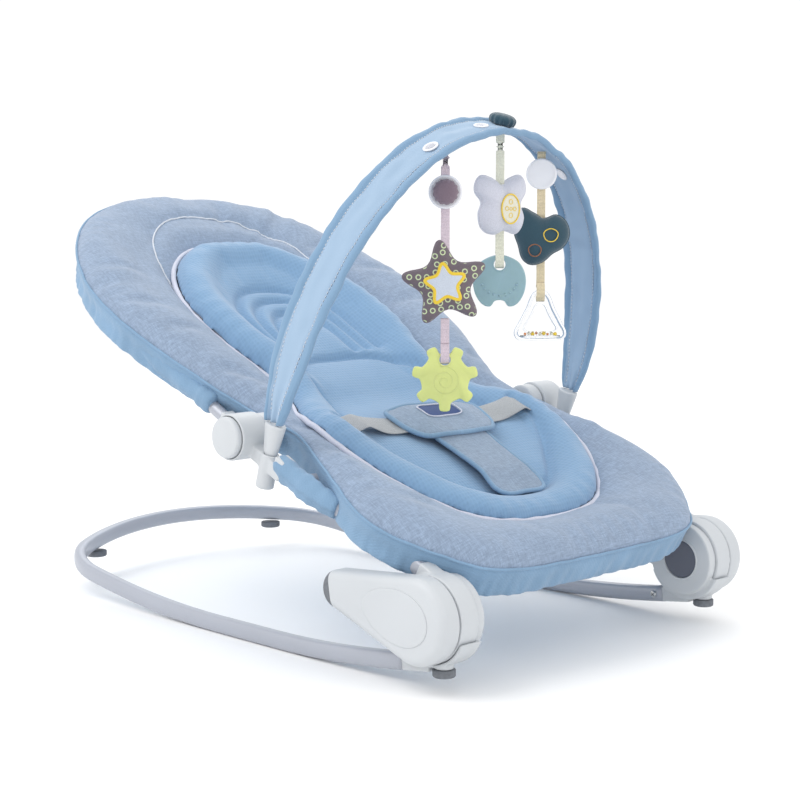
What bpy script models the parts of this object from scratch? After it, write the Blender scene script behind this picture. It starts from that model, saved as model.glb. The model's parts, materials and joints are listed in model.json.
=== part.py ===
"""Baby bouncer seat: a rocker base, a folding seat frame, a reclining backrest and a removable
toy bar with three hanging toy chains. Units are metres, +Z is up, the foot end is at -Y."""

import math

import bmesh
import bpy
from mathutils import Matrix, Vector

# ---------------------------------------------------------------- driving dimensions

GAP = 0.0003  # between faces that rest on each other
RUN = 0.0003  # running clearance round a shaft

# rocker base
RAIL_X = 0.2275  # middle of each side of the rail
RAIL_WIDTH = 0.016
RAIL_HEIGHT = 0.020
RAIL_FRONT_Y = -0.311
RAIL_CORNER_RADIUS = 0.100
RAIL_BOW_RADIUS = 0.350
RAIL_END_Y = 0.392  # middle of the bow at the head end
ROCKER_LOW_Y = -0.050  # middle of the flat that the rail rests on
ROCKER_FLAT = 0.050  # half its length
ROCKER_RISE = 0.33  # the rail rises by this times the square of the distance past the flat
SPIGOT_LENGTH = 0.030
SPIGOT_WALL = 0.0035
RAIL_SCREW_BACK = 0.012  # from the rail's end
SCREW_RADIUS = 0.0022
FRONT_FOOT_LIFT = 0.018  # the front feet are the rocker's stops and hang clear of the floor
FRONT_FOOT_RADIUS = 0.0115
REAR_FOOT_X = 0.155
REAR_FOOT_RADIUS = 0.0135
REAR_FOOT_HEIGHT = 0.008

# hubs that the seat folds on
HUB_Y = -0.353
HUB_Z = 0.078
CHEEK_INSET = 0.0290  # its inner face lies this far inside the rail's middle
CHEEK_THICKNESS = 0.0120
CHEEK_IN_X = RAIL_X - CHEEK_INSET
CHEEK_OUT_X = CHEEK_IN_X + CHEEK_THICKNESS
CHEEK_RADIUS = 0.0435
DRUM_RADIUS = 0.0465
DRUM_WIDTH = 0.0260
DRUM_OUT_X = CHEEK_OUT_X + DRUM_WIDTH
SADDLE_WALL = 0.0042
FOLD_BUTTON_RADIUS = 0.0225
FOLD_BUTTON_THICKNESS = 0.0028
FOLD_BUTTON_TRAVEL = 0.0035
BOLT_RADIUS = 0.004
BOLT_HEAD_RADIUS = 0.0065
BOLT_HEAD_HEIGHT = 0.0022

# stationary legs on the outer side of the hubs
LEG_GAP = 0.0015
LEG_WIDTH = 0.0260
LEG_IN_X = DRUM_OUT_X + LEG_GAP
LEG_OUT_X = LEG_IN_X + LEG_WIDTH
LEG_HUB_RADIUS = 0.0465
LEG_TIP_RADIUS = 0.0210
LEG_LENGTH = 0.118  # hub axis to the middle of the tip
LEG_ANGLE = math.radians(7.8)
LEG_TIP_CUT = 0.006  # the rubber tip starts this far past the middle of the tip

# seat frame
SEAT_SLOPE = math.radians(25.5)
TUBE_OFFSET = 0.032  # the seat tubes pass this far above the hub axis
SEAT_RUN = 0.320  # along the seat tubes, from the hubs to the recline axis
SEAT_TUBE_WIDTH = 0.014
SEAT_TUBE_HEIGHT = 0.018
SEAT_TUBE_SPREAD = 0.0265  # how far the tubes splay outwards
SEAT_TUBE_FRONT_X = (CHEEK_OUT_X + DRUM_OUT_X) / 2
SEAT_TUBE_REAR_X = SEAT_TUBE_FRONT_X + SEAT_TUBE_SPREAD
COLLAR_END = 0.040  # past the hub, along the seat tube
COLLAR_WALL = 0.0024
CROSS_TUBE_RADIUS = 0.008
CROSS_TUBE_S = -0.100
FRONT_LOOP_RADIUS = 0.007

# side brackets: recline housing, arm and toy bar socket
HOUSING_INSET = 0.0110  # its inner face lies this far inside the seat tube's middle
HOUSING_WIDTH = 0.0370
HOUSING_IN_X = SEAT_TUBE_REAR_X - HOUSING_INSET
HOUSING_OUT_X = HOUSING_IN_X + HOUSING_WIDTH
HOUSING_RADIUS = 0.0265
ARM_HALF_WIDTH = 0.0098
ARM_LOW = -0.0135
ARM_TOP = 0.0025
TUBE_HOLDER_HALF = 0.0114
TUBE_HOLDER_S = (-0.078, -0.0625)
RECLINE_BUTTON_RADIUS = 0.0235
RECLINE_BUTTON_DEPTH = 0.010
RECLINE_BUTTON_PROUD = 0.0085
RECLINE_BUTTON_TRAVEL = 0.004
SPRING_RADIUS = 0.0085
SPRING_WIRE = 0.0006
SPRING_LENGTH = 0.0062
SPRING_TURNS = 4
PIN_RADIUS = 0.004
PIN_HEAD_RADIUS = 0.007
PIN_HEAD_HEIGHT = 0.003

# backrest
BACK_SLOPE = math.radians(29.1)
BACK_TUBE_RADIUS = 0.0075
BACK_TUBE_DROP = 0.020  # its middle lies this far below the recline axis
BACK_KNUCKLE_GAP = 0.0015
BACK_KNUCKLE_WIDTH = 0.0185
BACK_KNUCKLE_OUT_X = HOUSING_IN_X - BACK_KNUCKLE_GAP
BACK_KNUCKLE_IN_X = BACK_KNUCKLE_OUT_X - BACK_KNUCKLE_WIDTH
BACK_KNUCKLE_RADIUS = 0.024
BACK_ARM_END = 0.062

# padded cover and reducer cushion
SEAT_COVER_LOW = 0.0110  # above the seat tubes' middle
SEAT_COVER_TOP = 0.0225
PATTERN_X = 0.2500  # the outlines are drawn for seat tubes this far out, and move with them
PATTERN_RUN = 0.3200  # and for this length of seat
BACK_COVER_LOW = -0.0095
BACK_COVER_TOP = 0.0036
REDUCER_THICKNESS = 0.014
PAD_CLEAR = 0.0006

# toy bar
SOCKET_OUT = 0.0020  # its middle lies this far outside the seat tube's
SOCKET_X = SEAT_TUBE_REAR_X + SOCKET_OUT
SOCKET_S = -0.04903  # its mouth, along the seat from the recline axis
BAR_LEAN = math.radians(15.7)
SOCKET_RADIUS = 0.0105
SOCKET_LIP = 0.0024  # the mouth stands this far above the arm
SOCKET_DEPTH = 0.034
SOCKET_LENGTH = 0.040
SPIGOT_RADIUS = 0.0062
CLIP_LENGTH = 0.036
CLIP_LOW_HALF = 0.0095
CLIP_TOP_HALF = 0.0145
CLIP_THICKNESS = 0.70  # share of its width
ARCH_BULGE = 0.0030
ARCH_HALF_WIDTH = SOCKET_X + ARCH_BULGE
ARCH_RISE = 0.3430  # above the clips
ARCH_BAND_HALF = 0.031
ARCH_BAND_END_HALF = 0.0120
ARCH_BAND_TAPER = 0.055
ARCH_BAND_THICKNESS = 0.005

# toys
TOY_X = {"near": -0.0755, "middle": 0.0130, "far": 0.0950}  # where the chains hang
TOY_YAW = math.radians(-45.0)  # the toys hang with their faces turned to the -X side
STRAP_WIDTH = 0.010
STRAP_THICKNESS = 0.0016
PLUSH_THICKNESS = 0.022
LOOP_HEIGHT = 0.024
LOOP_BAR = 0.0024
TEETHER_THICKNESS = 0.007
TEETHER_HOLE = 0.0075
RING_RADIUS = 0.0185
RING_THICKNESS = 0.003
POD_RADIUS = 0.0170
POD_HEIGHT = 0.013

# ---------------------------------------------------------------- scene, helpers

for old in list(bpy.data.objects):
    bpy.data.objects.remove(old, do_unlink=True)

PARTS = bpy.data.collections.new("bouncer_seat")
CUTTERS = bpy.data.collections.new("cutters")
bpy.context.scene.collection.children.link(PARTS)
bpy.context.scene.collection.children.link(CUTTERS)

X_AXIS = Vector((1, 0, 0))
Z_AXIS = Vector((0, 0, 1))
MATERIALS = {}


def material(name, colour, roughness=0.5, metallic=0.0):
    made = bpy.data.materials.new(name)
    made.use_nodes = True
    shader = made.node_tree.nodes["Principled BSDF"]
    shader.inputs["Base Color"].default_value = (*colour, 1.0)
    shader.inputs["Roughness"].default_value = roughness
    shader.inputs["Metallic"].default_value = metallic
    made.diffuse_color = (*colour, 1.0)
    MATERIALS[name] = made


material("painted_steel", (0.48, 0.51, 0.56), 0.35, 0.6)
material("white_plastic", (0.72, 0.74, 0.77), 0.40)
material("grey_rubber", (0.16, 0.17, 0.19), 0.75)
material("dark_plastic", (0.07, 0.08, 0.095), 0.45)
material("bright_steel", (0.62, 0.62, 0.62), 0.25, 1.0)
material("heather_fabric", (0.36, 0.48, 0.66), 0.90)
material("mesh_fabric", (0.20, 0.37, 0.62), 0.85)
material("plain_fabric", (0.22, 0.38, 0.60), 0.85)
material("webbing", (0.40, 0.42, 0.42), 0.80)
material("black_plastic", (0.02, 0.02, 0.02), 0.40)
material("white_ring", (0.75, 0.76, 0.80), 0.35)
material("purple_fabric", (0.24, 0.18, 0.22), 0.90)
material("teal_fabric", (0.04, 0.09, 0.12), 0.90)
material("star_fabric", (0.17, 0.13, 0.15), 0.90)
material("grey_fabric", (0.55, 0.56, 0.62), 0.90)
material("green_silicone", (0.70, 0.74, 0.30), 0.50)
material("teal_silicone", (0.27, 0.42, 0.45), 0.50)
material("clear_plastic", (0.85, 0.88, 0.90), 0.10)


def add_object(name, mesh, mat=None, cutter=False):
    made = bpy.data.objects.new(name, mesh)
    (CUTTERS if cutter else PARTS).objects.link(made)
    if cutter:
        made.hide_render = True
        made.display_type = "WIRE"
    if mat:
        mesh.materials.clear()
        mesh.materials.append(MATERIALS[mat])
    return made


def take_mesh(made):
    """A curve or primitive object made into a plain welded mesh, with its transform applied."""
    graph = bpy.context.evaluated_depsgraph_get()
    mesh = bpy.data.meshes.new_from_object(made.evaluated_get(graph))
    mesh.transform(made.matrix_world)
    data = made.data
    bpy.data.objects.remove(made, do_unlink=True)
    if isinstance(data, bpy.types.Curve):
        bpy.data.curves.remove(data)
    weld(mesh)
    return mesh


def weld(mesh):
    shape = bmesh.new()
    shape.from_mesh(mesh)
    bmesh.ops.remove_doubles(shape, verts=shape.verts, dist=1e-6)
    bmesh.ops.recalc_face_normals(shape, faces=shape.faces)
    shape.to_mesh(mesh)
    shape.free()


def cylinder(start, end, radius, radius_end=None, sides=32):
    """A round bar between two points, as a mesh."""
    start, end = Vector(start), Vector(end)
    shape = bmesh.new()
    bmesh.ops.create_cone(
        shape, cap_ends=True, segments=sides, radius1=radius,
        radius2=radius if radius_end is None else radius_end, depth=(end - start).length)
    turn = (end - start).to_track_quat("Z", "X").to_matrix().to_4x4()
    bmesh.ops.transform(shape, matrix=Matrix.Translation((start + end) / 2) @ turn, verts=shape.verts)
    return finished(shape)


def box(low, high, place=None):
    """A box between two corners, moved by the matrix place."""
    low, high = Vector(low), Vector(high)
    shape = bmesh.new()
    size = Matrix.Diagonal((*(high - low), 1.0))
    bmesh.ops.create_cube(shape, size=1.0, matrix=Matrix.Translation((low + high) / 2) @ size)
    if place:
        bmesh.ops.transform(shape, matrix=place, verts=shape.verts)
    return finished(shape)


def finished(shape):
    bmesh.ops.recalc_face_normals(shape, faces=shape.faces)
    mesh = bpy.data.meshes.new("shape")
    shape.to_mesh(mesh)
    shape.free()
    return mesh


def plate(outline, low, high, place, rounding=0.0, rounds=2):
    """A flat outline in local X and Y, from local Z low to high, its edges rounded."""
    curve = bpy.data.curves.new("plate", "CURVE")
    curve.dimensions = "2D"
    curve.fill_mode = "BOTH"
    curve.extrude = (high - low) / 2 - rounding
    curve.bevel_depth = rounding
    curve.bevel_resolution = rounds
    curve.offset = -rounding
    spline = curve.splines.new("POLY")
    spline.points.add(len(outline) - 1)
    for point, (x, y) in zip(spline.points, outline):
        point.co = (x, y, 0, 1)
    spline.use_cyclic_u = True
    made = bpy.data.objects.new("plate", curve)
    bpy.context.scene.collection.objects.link(made)
    made.matrix_world = place @ Matrix.Translation((0, 0, (low + high) / 2))
    bpy.context.view_layer.update()
    return take_mesh(made)


def pillow(outline, half, place, rounding):
    """A flat outline round the origin, from local Z -half to half, its edges rounded inwards."""
    shape = bmesh.new()
    reach = max(math.hypot(x, y) for x, y in outline)
    rings = []
    for share, z in ((1 - rounding / reach, -half), (1 - 0.3 * rounding / reach, -half + 0.3 * rounding),
                     (1, -half + rounding), (1, half - rounding),
                     (1 - 0.3 * rounding / reach, half - 0.3 * rounding), (1 - rounding / reach, half)):
        rings.append([shape.verts.new((share * x, share * y, z)) for x, y in outline])
    for low, high in zip(rings, rings[1:]):
        for i in range(len(outline)):
            k = (i + 1) % len(outline)
            shape.faces.new((low[i], low[k], high[k], high[i]))
    for ring, z in ((rings[0][::-1], -half), (rings[-1], half)):
        middle = shape.verts.new((0, 0, z))
        for i in range(len(ring)):
            shape.faces.new((ring[i], ring[(i + 1) % len(ring)], middle))
    bmesh.ops.transform(shape, matrix=place, verts=shape.verts)
    return finished(shape)


def tube(points, width, height, sides=12):
    """A tube along the points, its section upright, width across and height up."""
    section = bpy.data.curves.new("section", "CURVE")
    section.dimensions = "2D"
    ring = section.splines.new("POLY")
    ring.points.add(sides - 1)
    most = math.cos(math.pi / sides) ** 0.6
    for i, point in enumerate(ring.points):
        angle = 2 * math.pi * (i + 0.5) / sides
        # a superellipse, flat on its four sides
        across, up = math.cos(angle), math.sin(angle)
        x = math.copysign(abs(across) ** 0.6, across) * width / 2 / most
        y = math.copysign(abs(up) ** 0.6, up) * height / 2 / most
        point.co = (x, y, 0, 1)
    ring.use_cyclic_u = True
    section_object = bpy.data.objects.new("section", section)
    bpy.context.scene.collection.objects.link(section_object)
    mesh = round_tube(points, 0, section_object)
    bpy.data.objects.remove(section_object, do_unlink=True)
    return mesh


def round_tube(points, radius, section=None, resolution=2, twist="Z_UP"):
    curve = bpy.data.curves.new("tube", "CURVE")
    curve.dimensions = "3D"
    curve.twist_mode = twist
    curve.use_fill_caps = True
    if section:
        curve.bevel_mode = "OBJECT"
        curve.bevel_object = section
    else:
        curve.bevel_depth = radius
        curve.bevel_resolution = resolution
    spline = curve.splines.new("POLY")
    spline.points.add(len(points) - 1)
    for point, place in zip(spline.points, points):
        point.co = (*place, 1)
    made = bpy.data.objects.new("tube", curve)
    bpy.context.scene.collection.objects.link(made)
    bpy.context.view_layer.update()
    return take_mesh(made)


def solid(name, mat, base, add=(), cut=()):
    """One node: a base mesh with others joined to it and others cut from it."""
    made = add_object(name, base, mat)
    for operation, meshes in (("UNION", add), ("DIFFERENCE", cut)):
        for i, mesh in enumerate(meshes):
            helper = add_object(f"{name}_{operation.lower()}_{i}", mesh, cutter=True)
            change = made.modifiers.new(operation.lower(), "BOOLEAN")
            change.operation = operation
            change.object = helper
    for face in base.polygons:
        face.use_smooth = True
    base.set_sharp_from_angle(angle=math.radians(35))
    return made


def smooth_outline(points, steps=5):
    """A closed smooth curve through a few points, mirrored from the +X half given."""
    whole = list(points) + [(-x, y) for x, y in reversed(points) if x > 1e-6]
    count = len(whole)
    outline = []
    for i in range(count):
        before, start, end, after = (Vector(whole[(i + k) % count]) for k in (-1, 0, 1, 2))
        chord = (end - start).length
        leave, arrive = (end - before).normalized() * chord, (after - start).normalized() * chord
        for k in range(steps):
            t = k / steps
            outline.append(tuple(
                (2 * t ** 3 - 3 * t * t + 1) * start + (t ** 3 - 2 * t * t + t) * leave
                + (3 * t * t - 2 * t ** 3) * end + (t ** 3 - t * t) * arrive))
    return outline


def arc(centre, radius, start, end, count):
    """Points along an arc in a plane, angles in degrees."""
    return [(centre[0] + radius * math.cos(math.radians(start + (end - start) * i / count)),
             centre[1] + radius * math.sin(math.radians(start + (end - start) * i / count)))
            for i in range(count + 1)]


def frame_at(point, slope=0.0):
    """A local frame at a point, turned about X so that its Y runs up the slope."""
    return Matrix.Translation(point) @ Matrix.Rotation(slope, 4, "X")


def side_plane(x, y, z, angle=0.0):
    """A frame whose local X and Y are the world's Y and Z, for outlines seen from the side."""
    base = Matrix(((0, 0, 1, x), (1, 0, 0, y), (0, 1, 0, z), (0, 0, 0, 1)))
    return base @ Matrix.Rotation(angle, 4, "Z")


def pivot(name, point, members):
    """An empty on a joint's axis, and the pieces that turn or slide with it."""
    empty = bpy.data.objects.new(name, None)
    empty.location = point
    empty.empty_display_size = 0.02
    PARTS.objects.link(empty)
    bpy.context.view_layer.update()
    for member in members:
        member.parent = empty
        member.matrix_parent_inverse = empty.matrix_world.inverted()
    return empty


# ---------------------------------------------------------------- derived places

HUB = Vector((0, HUB_Y, HUB_Z))
SEAT_DIR = Vector((0, math.cos(SEAT_SLOPE), math.sin(SEAT_SLOPE)))
SEAT_UP = Vector((0, -math.sin(SEAT_SLOPE), math.cos(SEAT_SLOPE)))
RECLINE = HUB + TUBE_OFFSET * SEAT_UP + SEAT_RUN * SEAT_DIR
SEAT = frame_at(RECLINE, SEAT_SLOPE)  # local Y runs along the seat tubes, local Z off the seat
BACK = frame_at(RECLINE, BACK_SLOPE)
HUB_S = -SEAT_RUN
BAR_UP = Vector((0, -math.sin(BAR_LEAN), math.cos(BAR_LEAN)))
BAR_OUT = Vector((0, math.cos(BAR_LEAN), math.sin(BAR_LEAN)))


def rail_low(y):
    """Height of the rail's underside: flat in the middle, rising to both ends."""
    past = max(abs(y - ROCKER_LOW_Y) - ROCKER_FLAT, 0.0)
    return ROCKER_RISE * past * past


def rail_middle(y):
    return rail_low(y) + RAIL_HEIGHT / 2


def socket_mouth(side):
    """Middle of the mouth of a toy bar socket, on the arm's top."""
    point = SEAT @ Vector((side * SOCKET_X, SOCKET_S, 0))
    return point + Z_AXIS * (ARM_TOP + SOCKET_LIP)


ARCH_FOOT = socket_mouth(1) + CLIP_LENGTH * BAR_UP  # top of the right clip
ARCH_MIDDLE = Vector((0, ARCH_FOOT.y, ARCH_FOOT.z))


# ---------------------------------------------------------------- rocker base


def rail_points():
    """The rail's middle line: two straight sides, two corners and a bow."""
    bow_centre = RAIL_END_Y - RAIL_BOW_RADIUS
    corner_x = RAIL_X - RAIL_CORNER_RADIUS
    corner_y = bow_centre + math.sqrt(
        (RAIL_BOW_RADIUS - RAIL_CORNER_RADIUS) ** 2 - corner_x ** 2)
    meet = math.degrees(math.atan2(corner_y - bow_centre, corner_x))
    flat_front, flat_rear = ROCKER_LOW_Y - ROCKER_FLAT, ROCKER_LOW_Y + ROCKER_FLAT
    front = [RAIL_FRONT_Y + (flat_front - RAIL_FRONT_Y) * i / 5 for i in range(6)]
    rear = [flat_rear + (corner_y - flat_rear) * i / 6 for i in range(6)]
    half = [(RAIL_X, y) for y in front + rear]
    half += arc((corner_x, corner_y), RAIL_CORNER_RADIUS, 0, meet, 6)[:-1]
    half += arc((0, bow_centre), RAIL_BOW_RADIUS, meet, 90, 6)
    plan = half + [(-x, y) for x, y in reversed(half[:-1])]
    return [(x, y, rail_middle(y)) for x, y in plan]


def rail_slope(y, step=0.01):
    return math.atan2(rail_middle(y + step) - rail_middle(y), step)


RAIL_FRONT = Vector((0, RAIL_FRONT_Y, rail_middle(RAIL_FRONT_Y)))
RAIL_TURN = rail_slope(RAIL_FRONT_Y)


def spigot(side, grow=0.0):
    """The plug of the base knuckle that fills the end of the rail."""
    half_w = RAIL_WIDTH / 2 - SPIGOT_WALL + grow
    half_h = RAIL_HEIGHT / 2 - SPIGOT_WALL + grow
    x = side * RAIL_X
    place = frame_at((x, RAIL_FRONT.y, RAIL_FRONT.z), RAIL_TURN)
    return box((-half_w, -0.004, -half_h), (half_w, SPIGOT_LENGTH + grow, half_h), place)


def screw_line(side):
    """Ends of the rail screw's middle line, from the inner face outwards."""
    back = frame_at(RAIL_FRONT, RAIL_TURN) @ Vector((0, RAIL_SCREW_BACK, 0))
    inner = Vector((side * (RAIL_X - RAIL_WIDTH / 2), back.y, back.z))
    return inner, inner + Vector((side * (RAIL_WIDTH / 2 + 0.003), 0, 0))


def build_base():
    cuts = []
    for side in (1, -1):
        inner, deep = screw_line(side)
        out = Vector((side * 0.004, 0, 0))
        cuts += [spigot(side, GAP), cylinder(inner - out, deep + out, SCREW_RADIUS + GAP, sides=16)]
    solid("base_rail", "painted_steel", tube(rail_points(), RAIL_WIDTH, RAIL_HEIGHT), cut=cuts)
    for side, word in ((1, "right"), (-1, "left")):
        build_base_knuckle(side, word)
        inner, deep = screw_line(side)
        head = inner - Vector((side * 0.0012, 0, 0))
        solid(f"rail_screw_{word}", "bright_steel",
              cylinder(inner - Vector((side * 2.5 * GAP, 0, 0)), deep, SCREW_RADIUS, sides=16),
              add=[cylinder(head, inner - Vector((side * GAP, 0, 0)), 0.0038, sides=16)])
        foot_y = math.sqrt(RAIL_BOW_RADIUS ** 2 - REAR_FOOT_X ** 2) + RAIL_END_Y - RAIL_BOW_RADIUS
        low = rail_low(foot_y - REAR_FOOT_RADIUS)
        top = Vector((side * REAR_FOOT_X, foot_y, low - GAP))
        foot = cylinder(top - Vector((0, 0, REAR_FOOT_HEIGHT)), top, REAR_FOOT_RADIUS * 0.8,
                        REAR_FOOT_RADIUS, sides=24)
        solid(f"rear_foot_{word}", "grey_rubber", foot)


def build_base_knuckle(side, word):
    def at(x, point=HUB):
        return Vector((side * x, point.y, point.z))

    saddle_radius = DRUM_RADIUS + RUN + SADDLE_WALL
    cheek = cylinder(at(CHEEK_IN_X), at(CHEEK_OUT_X), CHEEK_RADIUS, sides=48)
    saddle = cylinder(at(CHEEK_OUT_X - 0.004), at(DRUM_OUT_X), saddle_radius, sides=48)
    drum_space = cylinder(at(CHEEK_OUT_X + GAP), at(DRUM_OUT_X + 0.01), DRUM_RADIUS + 2 * RUN,
                          sides=48)
    top = 0.2
    above = box((side * (CHEEK_OUT_X + GAP) - (0 if side > 0 else top), -top, -0.020),
                (side * (CHEEK_OUT_X + GAP) + (top if side > 0 else 0), top, top),
                Matrix.Translation(HUB))
    above_inside = cylinder(at(CHEEK_OUT_X - 0.0045), at(CHEEK_OUT_X + GAP + 1e-5), saddle_radius + 0.01,
                            sides=48)
    ring = add_object(f"saddle_ring_{word}", above_inside, cutter=True)
    keep = ring.modifiers.new("keep", "BOOLEAN")
    keep.operation = "DIFFERENCE"
    keep.object = add_object(f"saddle_ring_core_{word}",
                             cylinder(at(CHEEK_OUT_X - 0.01), at(CHEEK_OUT_X + 0.01), CHEEK_RADIUS,
                                      sides=48), cutter=True)
    low = ring.modifiers.new("low", "BOOLEAN")
    low.operation = "DIFFERENCE"
    low.object = add_object(f"saddle_low_{word}",
                            box((-0.3, -top, -top), (0.3, top, -0.020), Matrix.Translation(HUB)),
                            cutter=True)
    half_w, half_h = RAIL_WIDTH / 2, RAIL_HEIGHT / 2
    place = frame_at((side * RAIL_X, RAIL_FRONT.y, RAIL_FRONT.z), RAIL_TURN)
    bracket = box((-half_w, -0.040, -half_h + 0.001), (half_w, -GAP, half_h - 0.001), place)
    foot_top = HUB_Z - saddle_radius + 0.0035
    foot_place = Vector((side * (RAIL_X + 0.001), HUB_Y - 0.014, 0))
    boss = cylinder(foot_place + Z_AXIS * (foot_top - 0.0035), foot_place + Z_AXIS * (foot_top + 0.004),
                    FRONT_FOOT_RADIUS * 0.9, sides=24)
    pocket = cylinder(at(CHEEK_IN_X - 0.01), at(CHEEK_IN_X + FOLD_BUTTON_THICKNESS + FOLD_BUTTON_TRAVEL
                      + BOLT_HEAD_HEIGHT + 0.0007), FOLD_BUTTON_RADIUS + RUN, sides=40)
    bore = cylinder(at(CHEEK_IN_X), at(CHEEK_OUT_X + 0.005), BOLT_RADIUS + RUN, sides=24)
    inner, deep = screw_line(side)
    screw_bore = cylinder(inner - Vector((side * 0.01, 0, 0)), deep + Vector((side * GAP, 0, 0)),
                          SCREW_RADIUS + GAP, sides=16)
    made = solid(f"base_knuckle_{word}", "white_plastic", cheek, add=[saddle, bracket, boss, spigot(side)],
                 cut=[drum_space, above, pocket, bore, screw_bore])
    trim = made.modifiers.new("trim", "BOOLEAN")
    trim.operation = "DIFFERENCE"
    trim.object = ring
    foot = cylinder(foot_place + Z_AXIS * FRONT_FOOT_LIFT,
                    foot_place + Z_AXIS * (foot_top - 0.0035 - GAP), FRONT_FOOT_RADIUS, sides=24)
    solid(f"front_foot_{word}", "grey_rubber", foot)
    head = CHEEK_IN_X + FOLD_BUTTON_THICKNESS + FOLD_BUTTON_TRAVEL + 0.0003
    shaft = cylinder(at(head), at(LEG_OUT_X - 0.005), BOLT_RADIUS, sides=24)
    solid(f"hub_bolt_{word}", "bright_steel", shaft,
          add=[cylinder(at(head), at(head + BOLT_HEAD_HEIGHT), BOLT_HEAD_RADIUS, sides=24)])
    button = solid(f"fold_button_{word}", "dark_plastic",
                   cylinder(at(CHEEK_IN_X - 0.0004), at(CHEEK_IN_X + FOLD_BUTTON_THICKNESS - 0.0004),
                            FOLD_BUTTON_RADIUS, sides=40))
    pivot(f"fold_button_slide_{word}", at(CHEEK_IN_X), [button])


# ---------------------------------------------------------------- stationary legs


def leg_outline():
    """A teardrop: two circles and the lines that touch both, in local X and Y from the hub."""
    lean = math.degrees(math.acos((LEG_HUB_RADIUS - LEG_TIP_RADIUS) / LEG_LENGTH))
    hub = arc((0, 0), LEG_HUB_RADIUS, lean, 360 - lean, 22)
    tip = arc((LEG_LENGTH, 0), LEG_TIP_RADIUS, -lean, lean, 12)
    return hub + tip


def build_legs():
    for side, word in ((1, "right"), (-1, "left")):
        place = side_plane(0, HUB_Y, HUB_Z, LEG_ANGLE)
        low, high = sorted((side * LEG_IN_X, side * LEG_OUT_X))
        split = LEG_LENGTH + LEG_TIP_CUT
        body = plate(leg_outline(), low, high, place, 0.005)
        half = 0.05
        beyond = box((split, -half, -1), (split + half, half, 1), place)
        before = box((-half * 2, -half * 2, -1), (split + GAP, half * 2, 1), place)
        bolt = cylinder((side * (LEG_IN_X - 0.01), HUB_Y, HUB_Z),
                        (side * (LEG_OUT_X - 0.005 + GAP), HUB_Y, HUB_Z), BOLT_RADIUS + RUN, sides=24)
        shell = solid(f"leg_shell_{word}", "white_plastic", body, cut=[beyond, bolt])
        tip = solid(f"leg_tip_{word}", "grey_rubber", plate(leg_outline(), low, high, place, 0.005),
                    cut=[before])
        pivot(f"leg_axis_{word}", (side * LEG_IN_X, HUB_Y, HUB_Z), [shell, tip])


# ---------------------------------------------------------------- seat frame


def ease(t):
    t = min(max(t, 0.0), 1.0)
    return t * t * (3 - 2 * t)


SEAT_TUBE_SPLAY = (HUB_S + 0.110, -0.112)  # along the seat, where the tubes splay outwards
SEAT_TUBE_FRONT = HUB_S - 0.004
SEAT_TUBE_REAR = -0.0650


def seat_tube_x(s):
    first, last = SEAT_TUBE_SPLAY
    return SEAT_TUBE_FRONT_X + (SEAT_TUBE_REAR_X - SEAT_TUBE_FRONT_X) * ease((s - first) / (last - first))


def seat_point(x, s, z=0.0):
    return SEAT @ Vector((x, s, z))


def build_seat_frame():
    members = []
    for side, word in ((1, "right"), (-1, "left")):
        first, last = SEAT_TUBE_SPLAY
        stops = [SEAT_TUBE_FRONT] + [first + (last - first) * i / 8 for i in range(9)] + [SEAT_TUBE_REAR]
        path = [seat_point(side * seat_tube_x(s), s) for s in stops]
        seat_tube = solid(f"seat_tube_{word}", "painted_steel",
                          tube(path, SEAT_TUBE_WIDTH, SEAT_TUBE_HEIGHT))
        members += [seat_tube, build_seat_knuckle(side, word)]
        members += build_side_bracket(side, word)
    members.append(build_front_loop())
    reach = seat_tube_x(CROSS_TUBE_S) - SEAT_TUBE_WIDTH / 2 - 0.0005
    cross = cylinder(seat_point(-reach, CROSS_TUBE_S, -0.001), seat_point(reach, CROSS_TUBE_S, -0.001),
                     CROSS_TUBE_RADIUS, sides=20)
    members.append(solid("seat_cross_tube", "painted_steel", cross))
    return members


def build_front_loop():
    """A U of tube that carries the foot end of the cover, its ends on the seat tubes' inner sides."""
    joint_s, front_s, reach = HUB_S + 0.105, HUB_S - 0.008, 0.060
    end_x = seat_tube_x(joint_s) - SEAT_TUBE_WIDTH / 2 - 0.0005
    side_x = end_x - 0.036
    half = [(end_x, joint_s), (end_x - 0.012, joint_s), (side_x + 0.010, joint_s - 0.010),
            (side_x, joint_s - 0.028)]
    half += arc((side_x - reach, front_s + reach), reach, 0, -90, 6)
    path = half + [(-x, s) for x, s in reversed(half)]
    return solid("front_loop_tube", "painted_steel",
                 round_tube([seat_point(x, s, 0.002) for x, s in path], FRONT_LOOP_RADIUS))


def build_seat_knuckle(side, word):
    def at(x, point=HUB):
        return Vector((side * x, point.y, point.z))

    drum = cylinder(at(CHEEK_OUT_X + 2 * GAP), at(DRUM_OUT_X), DRUM_RADIUS, sides=48)
    half_w = SEAT_TUBE_WIDTH / 2 + COLLAR_WALL
    half_h = SEAT_TUBE_HEIGHT / 2 + COLLAR_WALL
    low_x = side * SEAT_TUBE_FRONT_X - half_w
    collar = box((low_x, HUB_S - 0.012, -half_h), (low_x + 2 * half_w, HUB_S + COLLAR_END, half_h - 0.0006),
                 SEAT)
    pocket_w, pocket_h = SEAT_TUBE_WIDTH / 2 + GAP, SEAT_TUBE_HEIGHT / 2 + GAP
    pocket_x = side * SEAT_TUBE_FRONT_X
    pocket = box((pocket_x - pocket_w, SEAT_TUBE_FRONT - GAP, -pocket_h),
                 (pocket_x + pocket_w, HUB_S + COLLAR_END + 0.02, pocket_h), SEAT)
    bore = cylinder(at(CHEEK_OUT_X - 0.01), at(DRUM_OUT_X + 0.01), BOLT_RADIUS + RUN, sides=24)
    return solid(f"seat_knuckle_{word}", "white_plastic", drum, add=[collar], cut=[pocket, bore])


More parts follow.
